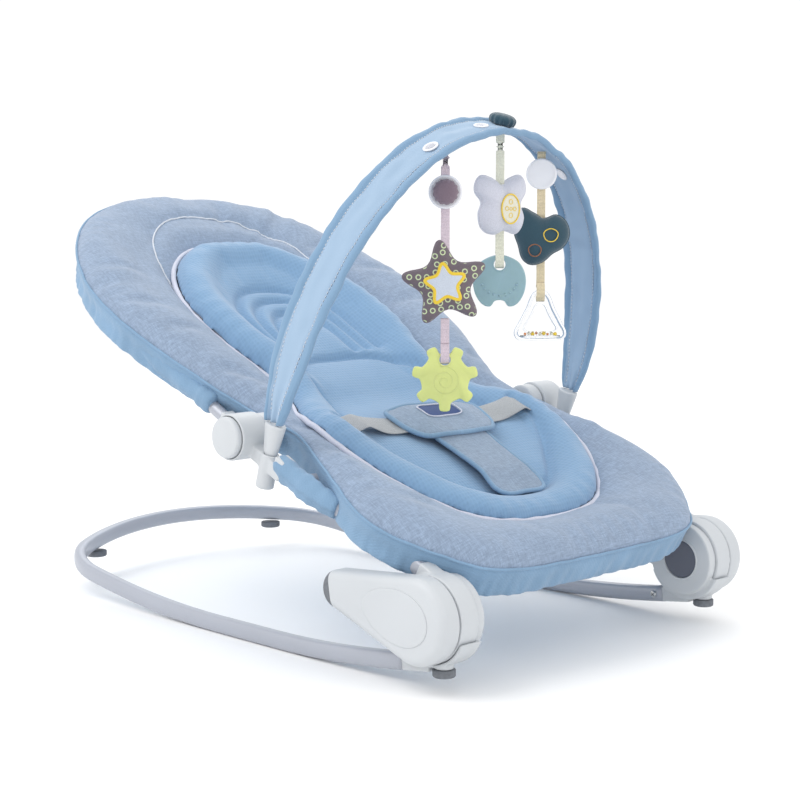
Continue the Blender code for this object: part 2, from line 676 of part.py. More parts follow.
def build_side_bracket(side, word):
    def at(x, point=RECLINE):
        return Vector((side * x, point.y, point.z))

    housing = cylinder(at(HOUSING_IN_X), at(HOUSING_OUT_X), HOUSING_RADIUS, sides=40)
    middle = side * SEAT_TUBE_REAR_X
    front_s, back_s = TUBE_HOLDER_S
    arm = box((middle - ARM_HALF_WIDTH, front_s + 0.002, ARM_LOW), (middle + ARM_HALF_WIDTH, 0.0, ARM_TOP),
              SEAT)
    holder = box((middle - ARM_HALF_WIDTH, front_s, -TUBE_HOLDER_HALF),
                 (middle + ARM_HALF_WIDTH, back_s, TUBE_HOLDER_HALF), SEAT)
    mouth = socket_mouth(side)
    socket = cylinder(mouth, mouth - SOCKET_LENGTH * BAR_UP, SOCKET_RADIUS, sides=32)
    bore = cylinder(mouth + 0.02 * BAR_UP, mouth - SOCKET_DEPTH * BAR_UP, SPIGOT_RADIUS + RUN, sides=24)
    pocket_w, pocket_h = SEAT_TUBE_WIDTH / 2 + GAP, SEAT_TUBE_HEIGHT / 2 + GAP
    tube_pocket = box((middle - pocket_w, front_s - 0.02, -pocket_h),
                      (middle + pocket_w, SEAT_TUBE_REAR + GAP, pocket_h), SEAT)
    face = HOUSING_OUT_X
    button_back = face + RECLINE_BUTTON_PROUD - RECLINE_BUTTON_DEPTH
    button_space = cylinder(at(button_back - RECLINE_BUTTON_TRAVEL - 0.0005), at(face + 0.01),
                            RECLINE_BUTTON_RADIUS + RUN, sides=40)
    spring_back = button_back - RECLINE_BUTTON_TRAVEL - 0.0005 - SPRING_LENGTH - 0.001
    spring_space = cylinder(at(spring_back), at(face), SPRING_RADIUS + 0.0016, sides=24)
    pin_end = spring_back - 0.0015
    pin_bore = cylinder(at(HOUSING_IN_X - 0.01), at(pin_end + GAP), PIN_RADIUS + GAP, sides=24)
    bracket = solid(f"side_bracket_{word}", "white_plastic", housing, add=[arm, holder, socket],
                    cut=[bore, tube_pocket, button_space, spring_space, pin_bore])
    pin_start = BACK_KNUCKLE_IN_X - 0.0005
    pin = solid(f"recline_pin_{word}", "bright_steel",
                cylinder(at(pin_start - PIN_HEAD_HEIGHT), at(pin_start), PIN_HEAD_RADIUS, sides=24),
                add=[cylinder(at(pin_start - 0.001), at(pin_end), PIN_RADIUS, sides=24)])
    spring = build_spring(f"recline_spring_{word}", at(spring_back + 0.0004 + SPRING_WIRE), side)
    cap = cylinder(at(button_back), at(button_back + RECLINE_BUTTON_DEPTH * 0.8), RECLINE_BUTTON_RADIUS,
                   sides=40)
    dome = cylinder(at(button_back + RECLINE_BUTTON_DEPTH * 0.8 - 1e-4),
                    at(button_back + RECLINE_BUTTON_DEPTH), RECLINE_BUTTON_RADIUS,
                    RECLINE_BUTTON_RADIUS * 0.9, sides=40)
    button = solid(f"recline_button_{word}", "white_plastic", cap, add=[dome])
    pivot(f"recline_button_slide_{word}", at(button_back), [button])
    return [bracket, pin, spring]


def build_spring(name, start, side):
    """A short coil spring along X, drawn at its pressed length."""
    count = SPRING_TURNS * 10
    run = SPRING_LENGTH - 2 * SPRING_WIRE
    path = []
    for i in range(count + 1):
        turn = 2 * math.pi * i / 10
        path.append((start.x + side * run * i / count, start.y + SPRING_RADIUS * math.cos(turn),
                     start.z + SPRING_RADIUS * math.sin(turn)))
    return solid(name, "bright_steel", round_tube(path, SPRING_WIRE, None, 1, "MINIMUM"))


# ---------------------------------------------------------------- backrest


BACK_TUBE_LINE = [(0.2310, 0.1100), (0.2380, 0.1650), (0.2460, 0.2200), (0.2500, 0.2750), (0.2450, 0.3250),
                  (0.2310, 0.3700), (0.2100, 0.4100), (0.1810, 0.4470), (0.1440, 0.4790), (0.0980, 0.5030),
                  (0.0500, 0.5150)]


def widened(points):
    """A half outline moved out with the seat tubes, and along with the seat's length."""
    out = SEAT_TUBE_REAR_X - PATTERN_X
    return [(x + out, s if s > 0 else s * SEAT_RUN / PATTERN_RUN) for x, s in points]


def back_point(x, s, z=0.0):
    return BACK @ Vector((x, s, z))


def build_backrest():
    members = []
    start_x = (BACK_KNUCKLE_IN_X + BACK_KNUCKLE_OUT_X) / 2
    first = 0.036
    half = [(start_x, first), (start_x, BACK_ARM_END)] + widened(BACK_TUBE_LINE) + [(0.0, 0.5180)]
    path = half + [(-x, s) for x, s in reversed(half[:-1])]
    loop = round_tube([back_point(x, s, -BACK_TUBE_DROP) for x, s in path], BACK_TUBE_RADIUS)
    members.append(solid("back_loop_tube", "painted_steel", loop))
    for side, word in ((1, "right"), (-1, "left")):
        def at(x, side=side):
            return Vector((side * x, RECLINE.y, RECLINE.z))

        disc = cylinder(at(BACK_KNUCKLE_IN_X), at(BACK_KNUCKLE_OUT_X), BACK_KNUCKLE_RADIUS, sides=40)
        low, high = sorted((side * BACK_KNUCKLE_IN_X, side * BACK_KNUCKLE_OUT_X))
        half_h = BACK_TUBE_RADIUS + 0.0030
        arm = box((low, 0.0, -BACK_TUBE_DROP - half_h),
                  (high, BACK_ARM_END, -BACK_TUBE_DROP + half_h - 0.0008), BACK)
        pocket = cylinder(back_point(side * start_x, first - GAP, -BACK_TUBE_DROP),
                          back_point(side * start_x, BACK_ARM_END + 0.02, -BACK_TUBE_DROP),
                          BACK_TUBE_RADIUS + 2 * GAP, sides=24)
        bore = cylinder(at(BACK_KNUCKLE_IN_X - 0.01), at(BACK_KNUCKLE_OUT_X + 0.01), PIN_RADIUS + RUN,
                        sides=24)
        members.append(solid(f"back_knuckle_{word}", "white_plastic", disc, add=[arm], cut=[pocket, bore]))
    return members


# ---------------------------------------------------------------- soft parts

SEAT_OUTLINE = [(0.1950, -0.004), (0.2080, -0.010), (0.2140, -0.024), (0.2160, -0.048),
                (0.2240, -0.080), (0.2440, -0.150), (0.2560, -0.190), (0.2555, -0.220),
                (0.2440, -0.250), (0.2270, -0.274), (0.2065, -0.297), (0.1890, -0.318),
                (0.1600, -0.331), (0.1150, -0.338), (0.0550, -0.340)]
BACK_OUTLINE = [(0.0450, 0.5390), (0.0850, 0.5300), (0.1250, 0.5140), (0.1560, 0.4940), (0.1880, 0.4650),
                (0.2140, 0.4320), (0.2350, 0.3980), (0.2510, 0.3620), (0.2630, 0.3250), (0.2680, 0.2850),
                (0.2660, 0.2450), (0.2570, 0.1940), (0.2450, 0.1500), (0.2340, 0.1150), (0.2240, 0.0780),
                (0.2130, 0.0480), (0.1950, 0.0330), (0.1500, 0.0300)]
SEAT_REDUCER = [(0.0900, -0.001), (0.1400, -0.003), (0.1680, -0.014), (0.1820, -0.040),
                (0.1850, -0.080), (0.1790, -0.118), (0.1650, -0.158), (0.1430, -0.195),
                (0.1080, -0.231), (0.0550, -0.251)]
BACK_REDUCER = [(0.0400, 0.4010), (0.0800, 0.3800), (0.1140, 0.3450), (0.1380, 0.3000), (0.1500, 0.2550),
                (0.1530, 0.2100), (0.1480, 0.1620), (0.1380, 0.1220), (0.1330, 0.0880), (0.1310, 0.0560),
                (0.1200, 0.0430), (0.0800, 0.0410)]


def cushion(half, low, high, place, rounding):
    return plate(smooth_outline(widened(half), 3), low, high, place, rounding, 1)


def build_soft_parts():
    seat = [solid("seat_cover", "heather_fabric",
                  cushion(SEAT_OUTLINE, SEAT_COVER_LOW, SEAT_COVER_TOP, SEAT, 0.005))]
    level = SEAT_COVER_TOP + PAD_CLEAR
    seat.append(solid("seat_reducer", "mesh_fabric",
                      cushion(SEAT_REDUCER, level, level + REDUCER_THICKNESS, SEAT, 0.006)))
    level += REDUCER_THICKNESS + PAD_CLEAR
    seat += build_harness(level)
    back = [solid("back_cover", "heather_fabric",
                  cushion(BACK_OUTLINE, BACK_COVER_LOW, BACK_COVER_TOP, BACK, 0.005))]
    level = BACK_COVER_TOP + PAD_CLEAR
    back.append(solid("back_reducer", "mesh_fabric",
                      cushion(BACK_REDUCER, level, level + REDUCER_THICKNESS, BACK, 0.006)))
    return seat, back


def build_harness(level):
    """Buckle, waist webbing and the T-shaped crotch pad that covers them, on the reducer."""
    waist_s, buckle_half, webbing_half = -0.058, 0.015, 0.0185
    members = [
        solid("buckle_body", "black_plastic",
              box((-0.004, waist_s - buckle_half, level),
                  (0.030, waist_s + buckle_half, level + 0.009), SEAT)),
        solid("buckle_tongue", "black_plastic",
              box((-0.030, waist_s - buckle_half * 0.8, level + 0.001),
                  (-0.004 - GAP, waist_s + buckle_half * 0.8, level + 0.008), SEAT)),
    ]
    for side, word in ((1, "right"), (-1, "left")):
        low, high = sorted((side * (0.030 + GAP), side * 0.150))
        members.append(solid(f"waist_strap_{word}", "webbing",
                             box((low, waist_s - webbing_half, level + 0.003),
                                 (high, waist_s + webbing_half, level + 0.0052), SEAT)))
    over = level + 0.009 + PAD_CLEAR
    bar_half, stem_half = 0.070, 0.036
    bar_rear, bar_front, stem_end = waist_s + 0.032, waist_s - 0.034, waist_s - 0.150
    outline = [(bar_half, bar_rear - 0.008), (bar_half - 0.008, bar_rear),
               (-bar_half + 0.008, bar_rear), (-bar_half, bar_rear - 0.008),
               (-bar_half, bar_front + 0.008), (-stem_half - 0.010, bar_front),
               (-stem_half, bar_front - 0.012), (-stem_half, stem_end), (stem_half, stem_end),
               (stem_half, bar_front - 0.012), (stem_half + 0.010, bar_front), (bar_half, bar_front + 0.008)]
    members.append(solid("crotch_pad", "heather_fabric",
                         plate(outline, over, over + 0.006, SEAT, 0.0025, 1)))
    return members


# ---------------------------------------------------------------- toy bar


def arch_point(angle, out=0.0, across=0.0):
    """A point of the arch: angle from the right foot, out from its middle face, across its width."""
    x = ARCH_HALF_WIDTH * math.cos(angle)
    rise = ARCH_RISE * math.sin(angle)
    normal = Vector((math.cos(angle) / ARCH_HALF_WIDTH, math.sin(angle) / ARCH_RISE)).normalized()
    flat = Vector((x, rise)) + out * normal
    return ARCH_MIDDLE + Vector((flat.x, 0, 0)) + flat.y * BAR_UP + across * BAR_OUT


def band_half(angle):
    """Half the band's width: narrow at the clips, full width over the top."""
    rise = ARCH_RISE * math.sin(angle)
    return ARCH_BAND_HALF - (ARCH_BAND_HALF - ARCH_BAND_END_HALF) * math.exp(-rise / ARCH_BAND_TAPER)


def build_arch():
    steps, across = 44, 2
    start = 0.004
    shape = bmesh.new()
    bmesh.ops.create_grid(shape, x_segments=steps, y_segments=across, size=0.5)
    for vertex in shape.verts:
        angle = start + (math.pi - 2 * start) * (vertex.co.x + 0.5)
        vertex.co = arch_point(angle, 0.0, 2 * vertex.co.y * band_half(angle))
    bmesh.ops.recalc_face_normals(shape, faces=shape.faces)
    mesh = bpy.data.meshes.new("arch_band")
    shape.to_mesh(mesh)
    shape.free()
    band = add_object("arch_band", mesh, "plain_fabric")
    shell = band.modifiers.new("thickness", "SOLIDIFY")
    shell.thickness = ARCH_BAND_THICKNESS
    shell.offset = 0.0
    members = [band]
    for side, word in ((1, "right"), (-1, "left")):
        members.append(build_clip(side, word))
    return members


def build_clip(side, word):
    """The end clip of the arch: a flared clamp over a round spigot that stands in the socket."""
    mouth = socket_mouth(side)
    low = mouth + GAP * BAR_UP
    high = mouth + (CLIP_LENGTH - GAP) * BAR_UP
    flare = cylinder(low, high, CLIP_LOW_HALF, CLIP_TOP_HALF, sides=24)
    middle = (low + high) / 2
    flare.transform(Matrix.Translation(middle) @ Matrix.Diagonal((CLIP_THICKNESS, 1, 1, 1))
                    @ Matrix.Translation(-middle))
    spigot_end = mouth - (SOCKET_DEPTH - 0.003) * BAR_UP
    stem = cylinder(low + 0.004 * BAR_UP, spigot_end, SPIGOT_RADIUS, sides=24)
    return solid(f"arch_clip_{word}", "white_plastic", flare, add=[stem])


# ---------------------------------------------------------------- toys


def hanging(point):
    """A frame whose local X and Y are a toy's width and height, its Z facing out of the toy."""
    face = Matrix.Rotation(TOY_YAW, 4, "Z") @ Matrix.Rotation(math.pi / 2, 4, "X")
    return Matrix.Translation(point) @ face


def star_outline(outer, inner, points=5, turn=90.0):
    outline = []
    for i in range(points * 2):
        angle = math.radians(turn + 180 * i / points)
        radius = outer if i % 2 == 0 else inner
        outline += [(radius * math.cos(angle + d), radius * math.sin(angle + d)) for d in (-0.11, 0.11)]
    return outline


def gear_outline(outer, inner, teeth=7):
    outline = []
    for i in range(teeth):
        for share, radius in ((-0.24, inner), (-0.15, outer), (0.15, outer), (0.24, inner)):
            angle = 2 * math.pi * (i + share) / teeth + math.pi / 2
            outline.append((radius * math.cos(angle), radius * math.sin(angle)))
    return outline


def wavy_outline(radius, waves, count=28):
    """A closed outline whose radius is the mean radius and a few waves round it."""
    outline = []
    for i in range(count):
        angle = 2 * math.pi * i / count
        reach = radius * (1 + sum(size * math.cos(number * angle + phase) for number, size, phase in waves))
        outline.append((reach * math.cos(angle), reach * math.sin(angle)))
    return outline


def build_plush(name, mat, outline, place, strap_top, loop_z, turn=0.0):
    """A stuffed toy with a strap sewn in at its top and a strap loop at its bottom."""
    frame = hanging(place)
    body = pillow(outline, PLUSH_THICKNESS / 2, frame @ Matrix.Rotation(turn, 4, "Z"), 0.007)
    thin, space = STRAP_THICKNESS / 2, TEETHER_THICKNESS / 2 + 0.0008
    wide = space + STRAP_THICKNESS
    top, low = strap_top - place.z, loop_z - place.z
    profile = [(-wide, low), (wide, low), (wide, low + LOOP_HEIGHT), (thin, low + LOOP_HEIGHT + 0.006),
               (thin, top), (-thin, top), (-thin, low + LOOP_HEIGHT + 0.006), (-wide, low + LOOP_HEIGHT)]
    # local X and Y of the profile are the toy's Z and Y
    turned = frame @ Matrix.Rotation(-math.pi / 2, 4, "Y")
    straps = plate(profile, -STRAP_WIDTH / 2, STRAP_WIDTH / 2, turned)
    slot = box((-STRAP_WIDTH, low + LOOP_BAR, -space),
               (STRAP_WIDTH, low + LOOP_HEIGHT - 0.002, space), frame)
    return solid(name, mat, body, add=[straps], cut=[slot])


def build_teether(name, mat, outline, hole_place, drop):
    """A flat teether with a round hole that a strap loop passes through."""
    frame = hanging(hole_place)
    body = pillow(outline, TEETHER_THICKNESS / 2, frame @ Matrix.Translation((0, -drop, 0)), 0.002)
    reach = frame.to_3x3() @ Vector((0, 0, 0.02))
    hole = cylinder(hole_place - reach, hole_place + reach, TEETHER_HOLE, sides=20)
    return solid(name, mat, body, cut=[hole])


def bar_angle(x):
    """The arch angle of a place x to the right of its middle."""
    return math.acos(x / ARCH_HALF_WIDTH)


def build_ring(key, anchor, drop, with_pod):
    """A ring sewn to the front of a strap, and the gathered pod on it."""
    frame = hanging(anchor - Vector((0, 0, drop)))
    start = STRAP_THICKNESS / 2 + GAP

    def disc(name, mat, low, height, radius, end):
        return solid(f"{key}_toy_{name}", mat, cylinder(frame @ Vector((0, 0, low)),
                     frame @ Vector((0, 0, low + height)), radius, end, sides=28))

    made = [disc("ring", "white_ring", start, RING_THICKNESS, RING_RADIUS, RING_RADIUS)]
    if with_pod:
        made.append(disc("pod", "purple_fabric", start + RING_THICKNESS + GAP, POD_HEIGHT, POD_RADIUS * 0.9,
                         POD_RADIUS * 0.5))
    return made


def build_toys():
    """Three chains on the arch. Each has a stuffed toy, and a teether or rattle on its loop."""
    top_angle = bar_angle(TOY_X["middle"])
    outwards = (arch_point(top_angle, 1.0) - arch_point(top_angle)).normalized()
    top_from = arch_point(top_angle, ARCH_BAND_THICKNESS / 2 + GAP)
    top_pod = solid("middle_toy_pod", "teal_fabric",
                    cylinder(top_from, top_from + POD_HEIGHT * outwards, POD_RADIUS, POD_RADIUS * 0.55,
                             sides=24))
    anchors = {key: arch_point(bar_angle(x), -ARCH_BAND_THICKNESS / 2) - Vector((0, 0, 0.0048))
               for key, x in TOY_X.items()}
    extras = {"near": build_ring("near", anchors["near"], 0.054, True), "middle": [],
              "far": build_ring("far", anchors["far"], 0.0225, False)}
    chains = (
        ("near", "star_plush", "star_fabric", star_outline(0.047, 0.026), math.radians(8), 0.157,
         "gear_teether", "green_silicone", gear_outline(0.036, 0.028), 0.243, 0.0215),
        ("middle", "butterfly_plush", "grey_fabric", wavy_outline(0.034, ((4, 0.15, math.pi),)), 0.0, 0.083,
         "round_teether", "teal_silicone", wavy_outline(0.0305, ((1, 0.02, math.pi),)), 0.151, 0.019),
        ("far", "bear_plush", "teal_fabric", wavy_outline(0.033, ((3, 0.10, 0.5), (2, 0.06, 3.4))), 0.0,
         0.097, "bell_rattle", "clear_plastic", wavy_outline(0.032, ((3, 0.08, math.pi / 2),)),
         0.170, 0.020),
    )
    bodies = {}
    for key, plush, mat, outline, turn, plush_drop, teether, hard, shape, hole_drop, drop in chains:
        anchor = anchors[key]
        place = anchor - Vector((0, 0, plush_drop))
        hole = anchor - Vector((0, 0, hole_drop))
        soft = build_plush(plush, mat, outline, place, anchor.z, hole.z + 0.0012, turn)
        firm = build_teether(teether, hard, shape, hole, drop)
        swing = pivot(f"{key}_toy_swing", anchor, [soft] + extras[key])
        turn_pivot = pivot(f"{key}_teether_swing", hole, [firm])
        turn_pivot.parent = swing
        turn_pivot.matrix_parent_inverse = swing.matrix_world.inverted()
        bodies[key] = swing
    return [top_pod], list(bodies.values())


# ---------------------------------------------------------------- assembly

build_base()
build_legs()
seat_members = build_seat_frame()
back_members = build_backrest()
seat_soft, back_soft = build_soft_parts()
bar_members = build_arch()
ring_members, toy_swings = build_toys()

seat_axis = pivot("seat_fold_axis", HUB, seat_members + seat_soft)
back_axis = pivot("recline_axis", RECLINE, back_members + back_soft)
bar_slide = pivot("toy_bar_slide", ARCH_MIDDLE, bar_members + ring_members + toy_swings)
for moving in (back_axis, bar_slide):
    moving.parent = seat_axis
    moving.matrix_parent_inverse = seat_axis.matrix_world.inverted()
for word in ("right", "left"):
    slide = bpy.data.objects[f"recline_button_slide_{word}"]
    slide.parent = seat_axis
    slide.matrix_parent_inverse = seat_axis.matrix_world.inverted()
bpy.context.view_layer.update()
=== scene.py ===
"""Looks of the baby bouncer seat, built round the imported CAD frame. Metres, foot end at -Y."""

import json
import math

import bmesh
import bpy
import numpy as np
from mathutils import Matrix, Vector, noise

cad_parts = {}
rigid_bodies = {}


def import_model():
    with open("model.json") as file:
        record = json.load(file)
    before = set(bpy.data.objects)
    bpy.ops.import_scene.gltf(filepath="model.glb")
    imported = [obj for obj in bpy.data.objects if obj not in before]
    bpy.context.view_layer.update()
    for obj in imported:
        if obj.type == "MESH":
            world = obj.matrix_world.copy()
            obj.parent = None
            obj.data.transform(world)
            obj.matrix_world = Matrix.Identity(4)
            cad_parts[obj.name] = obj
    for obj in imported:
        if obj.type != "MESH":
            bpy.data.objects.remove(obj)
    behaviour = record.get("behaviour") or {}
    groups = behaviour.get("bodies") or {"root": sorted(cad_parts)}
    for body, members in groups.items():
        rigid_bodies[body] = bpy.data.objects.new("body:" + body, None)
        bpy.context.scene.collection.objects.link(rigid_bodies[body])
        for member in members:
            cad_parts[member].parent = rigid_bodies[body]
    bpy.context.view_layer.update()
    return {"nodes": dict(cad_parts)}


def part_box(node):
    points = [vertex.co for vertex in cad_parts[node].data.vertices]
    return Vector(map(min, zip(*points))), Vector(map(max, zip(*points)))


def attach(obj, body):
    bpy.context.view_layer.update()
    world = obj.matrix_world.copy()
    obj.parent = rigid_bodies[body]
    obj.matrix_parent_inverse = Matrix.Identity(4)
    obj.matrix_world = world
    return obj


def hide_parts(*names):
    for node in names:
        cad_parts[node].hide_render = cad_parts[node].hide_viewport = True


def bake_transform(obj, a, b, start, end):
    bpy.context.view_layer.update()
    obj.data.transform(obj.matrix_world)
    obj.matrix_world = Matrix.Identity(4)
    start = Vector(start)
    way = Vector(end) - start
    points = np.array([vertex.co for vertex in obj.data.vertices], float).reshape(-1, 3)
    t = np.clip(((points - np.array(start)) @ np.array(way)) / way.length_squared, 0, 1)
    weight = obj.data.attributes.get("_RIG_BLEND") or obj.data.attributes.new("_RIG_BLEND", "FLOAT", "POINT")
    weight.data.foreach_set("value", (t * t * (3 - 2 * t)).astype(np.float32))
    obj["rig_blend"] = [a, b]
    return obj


# ---------------------------------------------------------------- places shared with the CAD part

HUB = Vector((0, -0.353, 0.078))
TUBE_OFFSET, SEAT_RUN = 0.032, 0.320
SEAT_SLOPE, BACK_SLOPE = math.radians(25.5), math.radians(29.1)
SEAT_TOP, BACK_TOP = 0.0245, 0.0036
BAR_LEAN = math.radians(15.7)
ARCH_HALF_WIDTH, ARCH_RISE = 0.2550, 0.3430
TOY_YAW = math.radians(-45.0)
TOY_X = {"near": -0.0755, "middle": 0.0130, "far": 0.0950}
SEAT_DIR = Vector((0, math.cos(SEAT_SLOPE), math.sin(SEAT_SLOPE)))
SEAT_UP = Vector((0, -math.sin(SEAT_SLOPE), math.cos(SEAT_SLOPE)))
RECLINE = HUB + TUBE_OFFSET * SEAT_UP + SEAT_RUN * SEAT_DIR
SEAT = Matrix.Translation(RECLINE) @ Matrix.Rotation(SEAT_SLOPE, 4, "X")
BACK = Matrix.Translation(RECLINE) @ Matrix.Rotation(BACK_SLOPE, 4, "X")
BAR_UP = Vector((0, -math.sin(BAR_LEAN), math.cos(BAR_LEAN)))
BAR_OUT = Vector((0, math.cos(BAR_LEAN), math.sin(BAR_LEAN)))

# half outlines of the padded cover and the reducer cushion, from the foot end to the head end:
# sideways, and along the seat from the recline axis
COVER_OUTLINE = [
    (0.0550, -0.3400), (0.1150, -0.3380), (0.1600, -0.3310), (0.1890, -0.3180), (0.2090, -0.2970),
    (0.2290, -0.2740), (0.2450, -0.2500), (0.2555, -0.2200), (0.2550, -0.1900), (0.2440, -0.1500),
    (0.2270, -0.0900), (0.2165, -0.0480), (0.2145, -0.0100), (0.2150, 0.0250), (0.2180, 0.0520),
    (0.2280, 0.0780), (0.2390, 0.1150), (0.2490, 0.1500), (0.2600, 0.1940), (0.2680, 0.2450),
    (0.2690, 0.2850), (0.2640, 0.3250), (0.2520, 0.3620), (0.2360, 0.3980), (0.2150, 0.4320),
    (0.1890, 0.4650), (0.1570, 0.4940), (0.1250, 0.5140), (0.0850, 0.5310), (0.0450, 0.5395)]
REDUCER_OUTLINE = [
    (0.0550, -0.2520), (0.1080, -0.2310), (0.1430, -0.1950), (0.1650, -0.1580), (0.1790, -0.1180),
    (0.1850, -0.0800), (0.1830, -0.0400), (0.1700, 0.0050), (0.1470, 0.0450), (0.1340, 0.0850),
    (0.1380, 0.1220), (0.1480, 0.1620), (0.1530, 0.2100), (0.1510, 0.2550), (0.1390, 0.3000),
    (0.1150, 0.3460), (0.0810, 0.3820), (0.0400, 0.4020)]
HINGE_SPAN = (-0.055, 0.060)  # where the fabric bends from the seat to the backrest
COVER_DEPTH = 0.040
REDUCER_DEPTH = 0.020


def srgb(r, g, b):
    return tuple((c / 255 / 12.92) if c <= 10.3 else ((c / 255 + 0.055) / 1.055) ** 2.4 for c in (r, g, b))


# ---------------------------------------------------------------- the frame

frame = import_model()
NODES = frame["nodes"]
scene = bpy.context.scene

# ---------------------------------------------------------------- materials


class Shader:
    """A material's node tree, with short calls to add to it."""

    def __init__(self, name, rough=0.5, metallic=0.0, sheen=0.0, coat=0.0, spec=0.5):
        self.material = bpy.data.materials.new(name)
        self.material.use_nodes = True
        self.tree = self.material.node_tree
        self.principled = self.tree.nodes["Principled BSDF"]
        self.set("Roughness", rough)
        self.set("Metallic", metallic)
        self.set("Sheen Weight", sheen)
        self.set("Coat Weight", coat)
        self.set("Specular IOR Level", spec)

    def set(self, socket, value):
        self.principled.inputs[socket].default_value = value

    def add(self, kind, inputs=None, **settings):
        made = self.tree.nodes.new(kind)
        for key, value in settings.items():
            setattr(made, key, value)
        for key, value in (inputs or {}).items():
            if isinstance(value, bpy.types.NodeSocket):
                self.tree.links.new(value, made.inputs[key])
            else:
                made.inputs[key].default_value = value
        return made

    def link(self, socket, name):
        self.tree.links.new(socket, self.principled.inputs[name])

    def place(self, attribute=None):
        """Pattern coordinates in metres: a stored flat place, or the object's own."""
        if attribute:
            return self.add("ShaderNodeAttribute", attribute_name=attribute).outputs["Vector"]
        return self.add("ShaderNodeTexCoord").outputs["Object"]

    def scaled(self, vector, scale):
        return self.add("ShaderNodeVectorMath", {0: vector, 1: scale}, operation="MULTIPLY").outputs[0]

    def noise(self, vector, scale, detail=2.0, rough=0.5):
        return self.add("ShaderNodeTexNoise", {"Vector": vector, "Scale": scale, "Detail": detail,
                                               "Roughness": rough}).outputs["Fac"]

    def math(self, operation, a, b=0.0, clamp=False):
        return self.add("ShaderNodeMath", {0: a, 1: b}, operation=operation, use_clamp=clamp).outputs[0]

    def ramp(self, factor, stops):
        made = self.add("ShaderNodeValToRGB", {"Fac": factor})
        ramp = made.color_ramp
        while len(ramp.elements) < len(stops):
            ramp.elements.new(0.5)
        for element, (at, colour) in zip(ramp.elements, stops):
            element.position = at
            element.color = (*colour, 1)
        return made.outputs["Color"]

    def mix(self, factor, a, b, blend="MIX"):
        made = self.add("ShaderNodeMix", data_type="RGBA", blend_type=blend)
        for key, value in ((0, factor), (6, a), (7, b)):
            if isinstance(value, bpy.types.NodeSocket):
                self.tree.links.new(value, made.inputs[key])
            else:
                made.inputs[key].default_value = value if key == 0 else (*value, 1)
        return made.outputs[2]

    def bump(self, height, strength, distance):
        made = self.add("ShaderNodeBump", {"Height": height, "Strength": strength, "Distance": distance})
        self.link(made.outputs["Normal"], "Normal")


def shade(colour, factor):
    return tuple(min(c * factor, 1.0) for c in colour)


def heather(name, colour, attribute="flat", contrast=0.62):
    """Melange cloth: pale and dark yarns that cross, with a fine weave."""
    s = Shader(name, rough=0.88, sheen=0.25, spec=0.25)
    at = s.place(attribute)
    warp = s.noise(s.scaled(at, (900, 130, 300)), 1.0, 3.0, 0.65)
    weft = s.noise(s.scaled(at, (110, 950, 300)), 1.0, 3.0, 0.65)
    cloud = s.noise(at, 26.0, 3.0)
    yarns = s.math("ADD", s.math("MULTIPLY", warp, 0.5), s.math("MULTIPLY", weft, 0.5))
    factor = s.math("ADD", yarns, s.math("MULTIPLY", s.math("SUBTRACT", cloud, 0.5), 0.10))
    c = contrast
    s.link(s.ramp(factor, ((0.36, shade(colour, 1 - 0.30 * c)), (0.50, colour),
                           (0.64, shade(colour, 1 + 0.42 * c)))), "Base Color")
    fine = s.noise(s.scaled(at, (1500, 1500, 1500)), 1.0, 1.0)
    s.bump(s.math("ADD", s.math("MULTIPLY", yarns, 1.0), s.math("MULTIPLY", fine, 0.5)), 0.55, 0.0006)
    return s.material


def plain_cloth(name, colour, attribute=None, rib=900.0, sheen=0.2):
    """Smooth woven cloth with a fine diagonal twill."""
    s = Shader(name, rough=0.80, sheen=sheen, spec=0.25)
    at = s.place(attribute)
    cloud = s.noise(at, 18.0, 3.0)
    speck = s.noise(s.scaled(at, (900, 900, 900)), 1.0, 2.0)
    tint = s.math("ADD", s.math("MULTIPLY", cloud, 0.55), s.math("MULTIPLY", speck, 0.45))
    s.link(s.ramp(tint, ((0.30, shade(colour, 0.86)), (0.70, shade(colour, 1.12)))), "Base Color")
    wave = s.add("ShaderNodeTexWave", {"Vector": at, "Scale": rib / 6.0, "Distortion": 1.2},
                 bands_direction="DIAGONAL").outputs["Fac"]
    s.bump(s.math("ADD", wave, s.math("MULTIPLY", speck, 0.8)), 0.35, 0.0004)
    return s.material


def mesh_cloth(name, colour, attribute="flat"):
    """Spacer mesh: rows of small dimples, their middles painted darker as painted shade."""
    s = Shader(name, rough=0.75, sheen=0.30, spec=0.3)
    at = s.place(attribute)
    cells = s.add("ShaderNodeTexVoronoi", {"Vector": s.scaled(at, (235, 190, 50)), "Scale": 1.0,
                                           "Randomness": 0.12}, feature="F1").outputs["Distance"]
    # painted shade: the colour darkens towards each dimple's middle, as if shaded inside the hole
    hole = s.math("SMOOTH_MIN", s.math("MULTIPLY", cells, 1.7), 1.0)
    cloud = s.noise(at, 14.0, 2.0)
    painted_dimple_shade = s.mix(hole, shade(colour, 0.66), shade(colour, 1.10))
    s.link(s.mix(s.math("MULTIPLY", cloud, 0.22), painted_dimple_shade, shade(colour, 1.25)), "Base Color")
    s.bump(s.math("SUBTRACT", 1.0, cells), 0.7, 0.0014)
    return s.material


def plastic(name, colour, rough=0.42, grain=0.25):
    """Moulded plastic with a fine spark-eroded grain."""
    s = Shader(name, rough=rough, spec=0.45)
    at = s.place()
    cloud = s.noise(at, 9.0, 3.0)
    s.link(s.ramp(cloud, ((0.3, shade(colour, 0.97)), (0.7, shade(colour, 1.02)))), "Base Color")
    s.link(s.math("ADD", s.math("MULTIPLY", s.noise(at, 420.0, 2.0), 0.10), rough - 0.05), "Roughness")
    s.bump(s.noise(at, 2600.0, 2.0), grain, 0.0002)
    return s.material


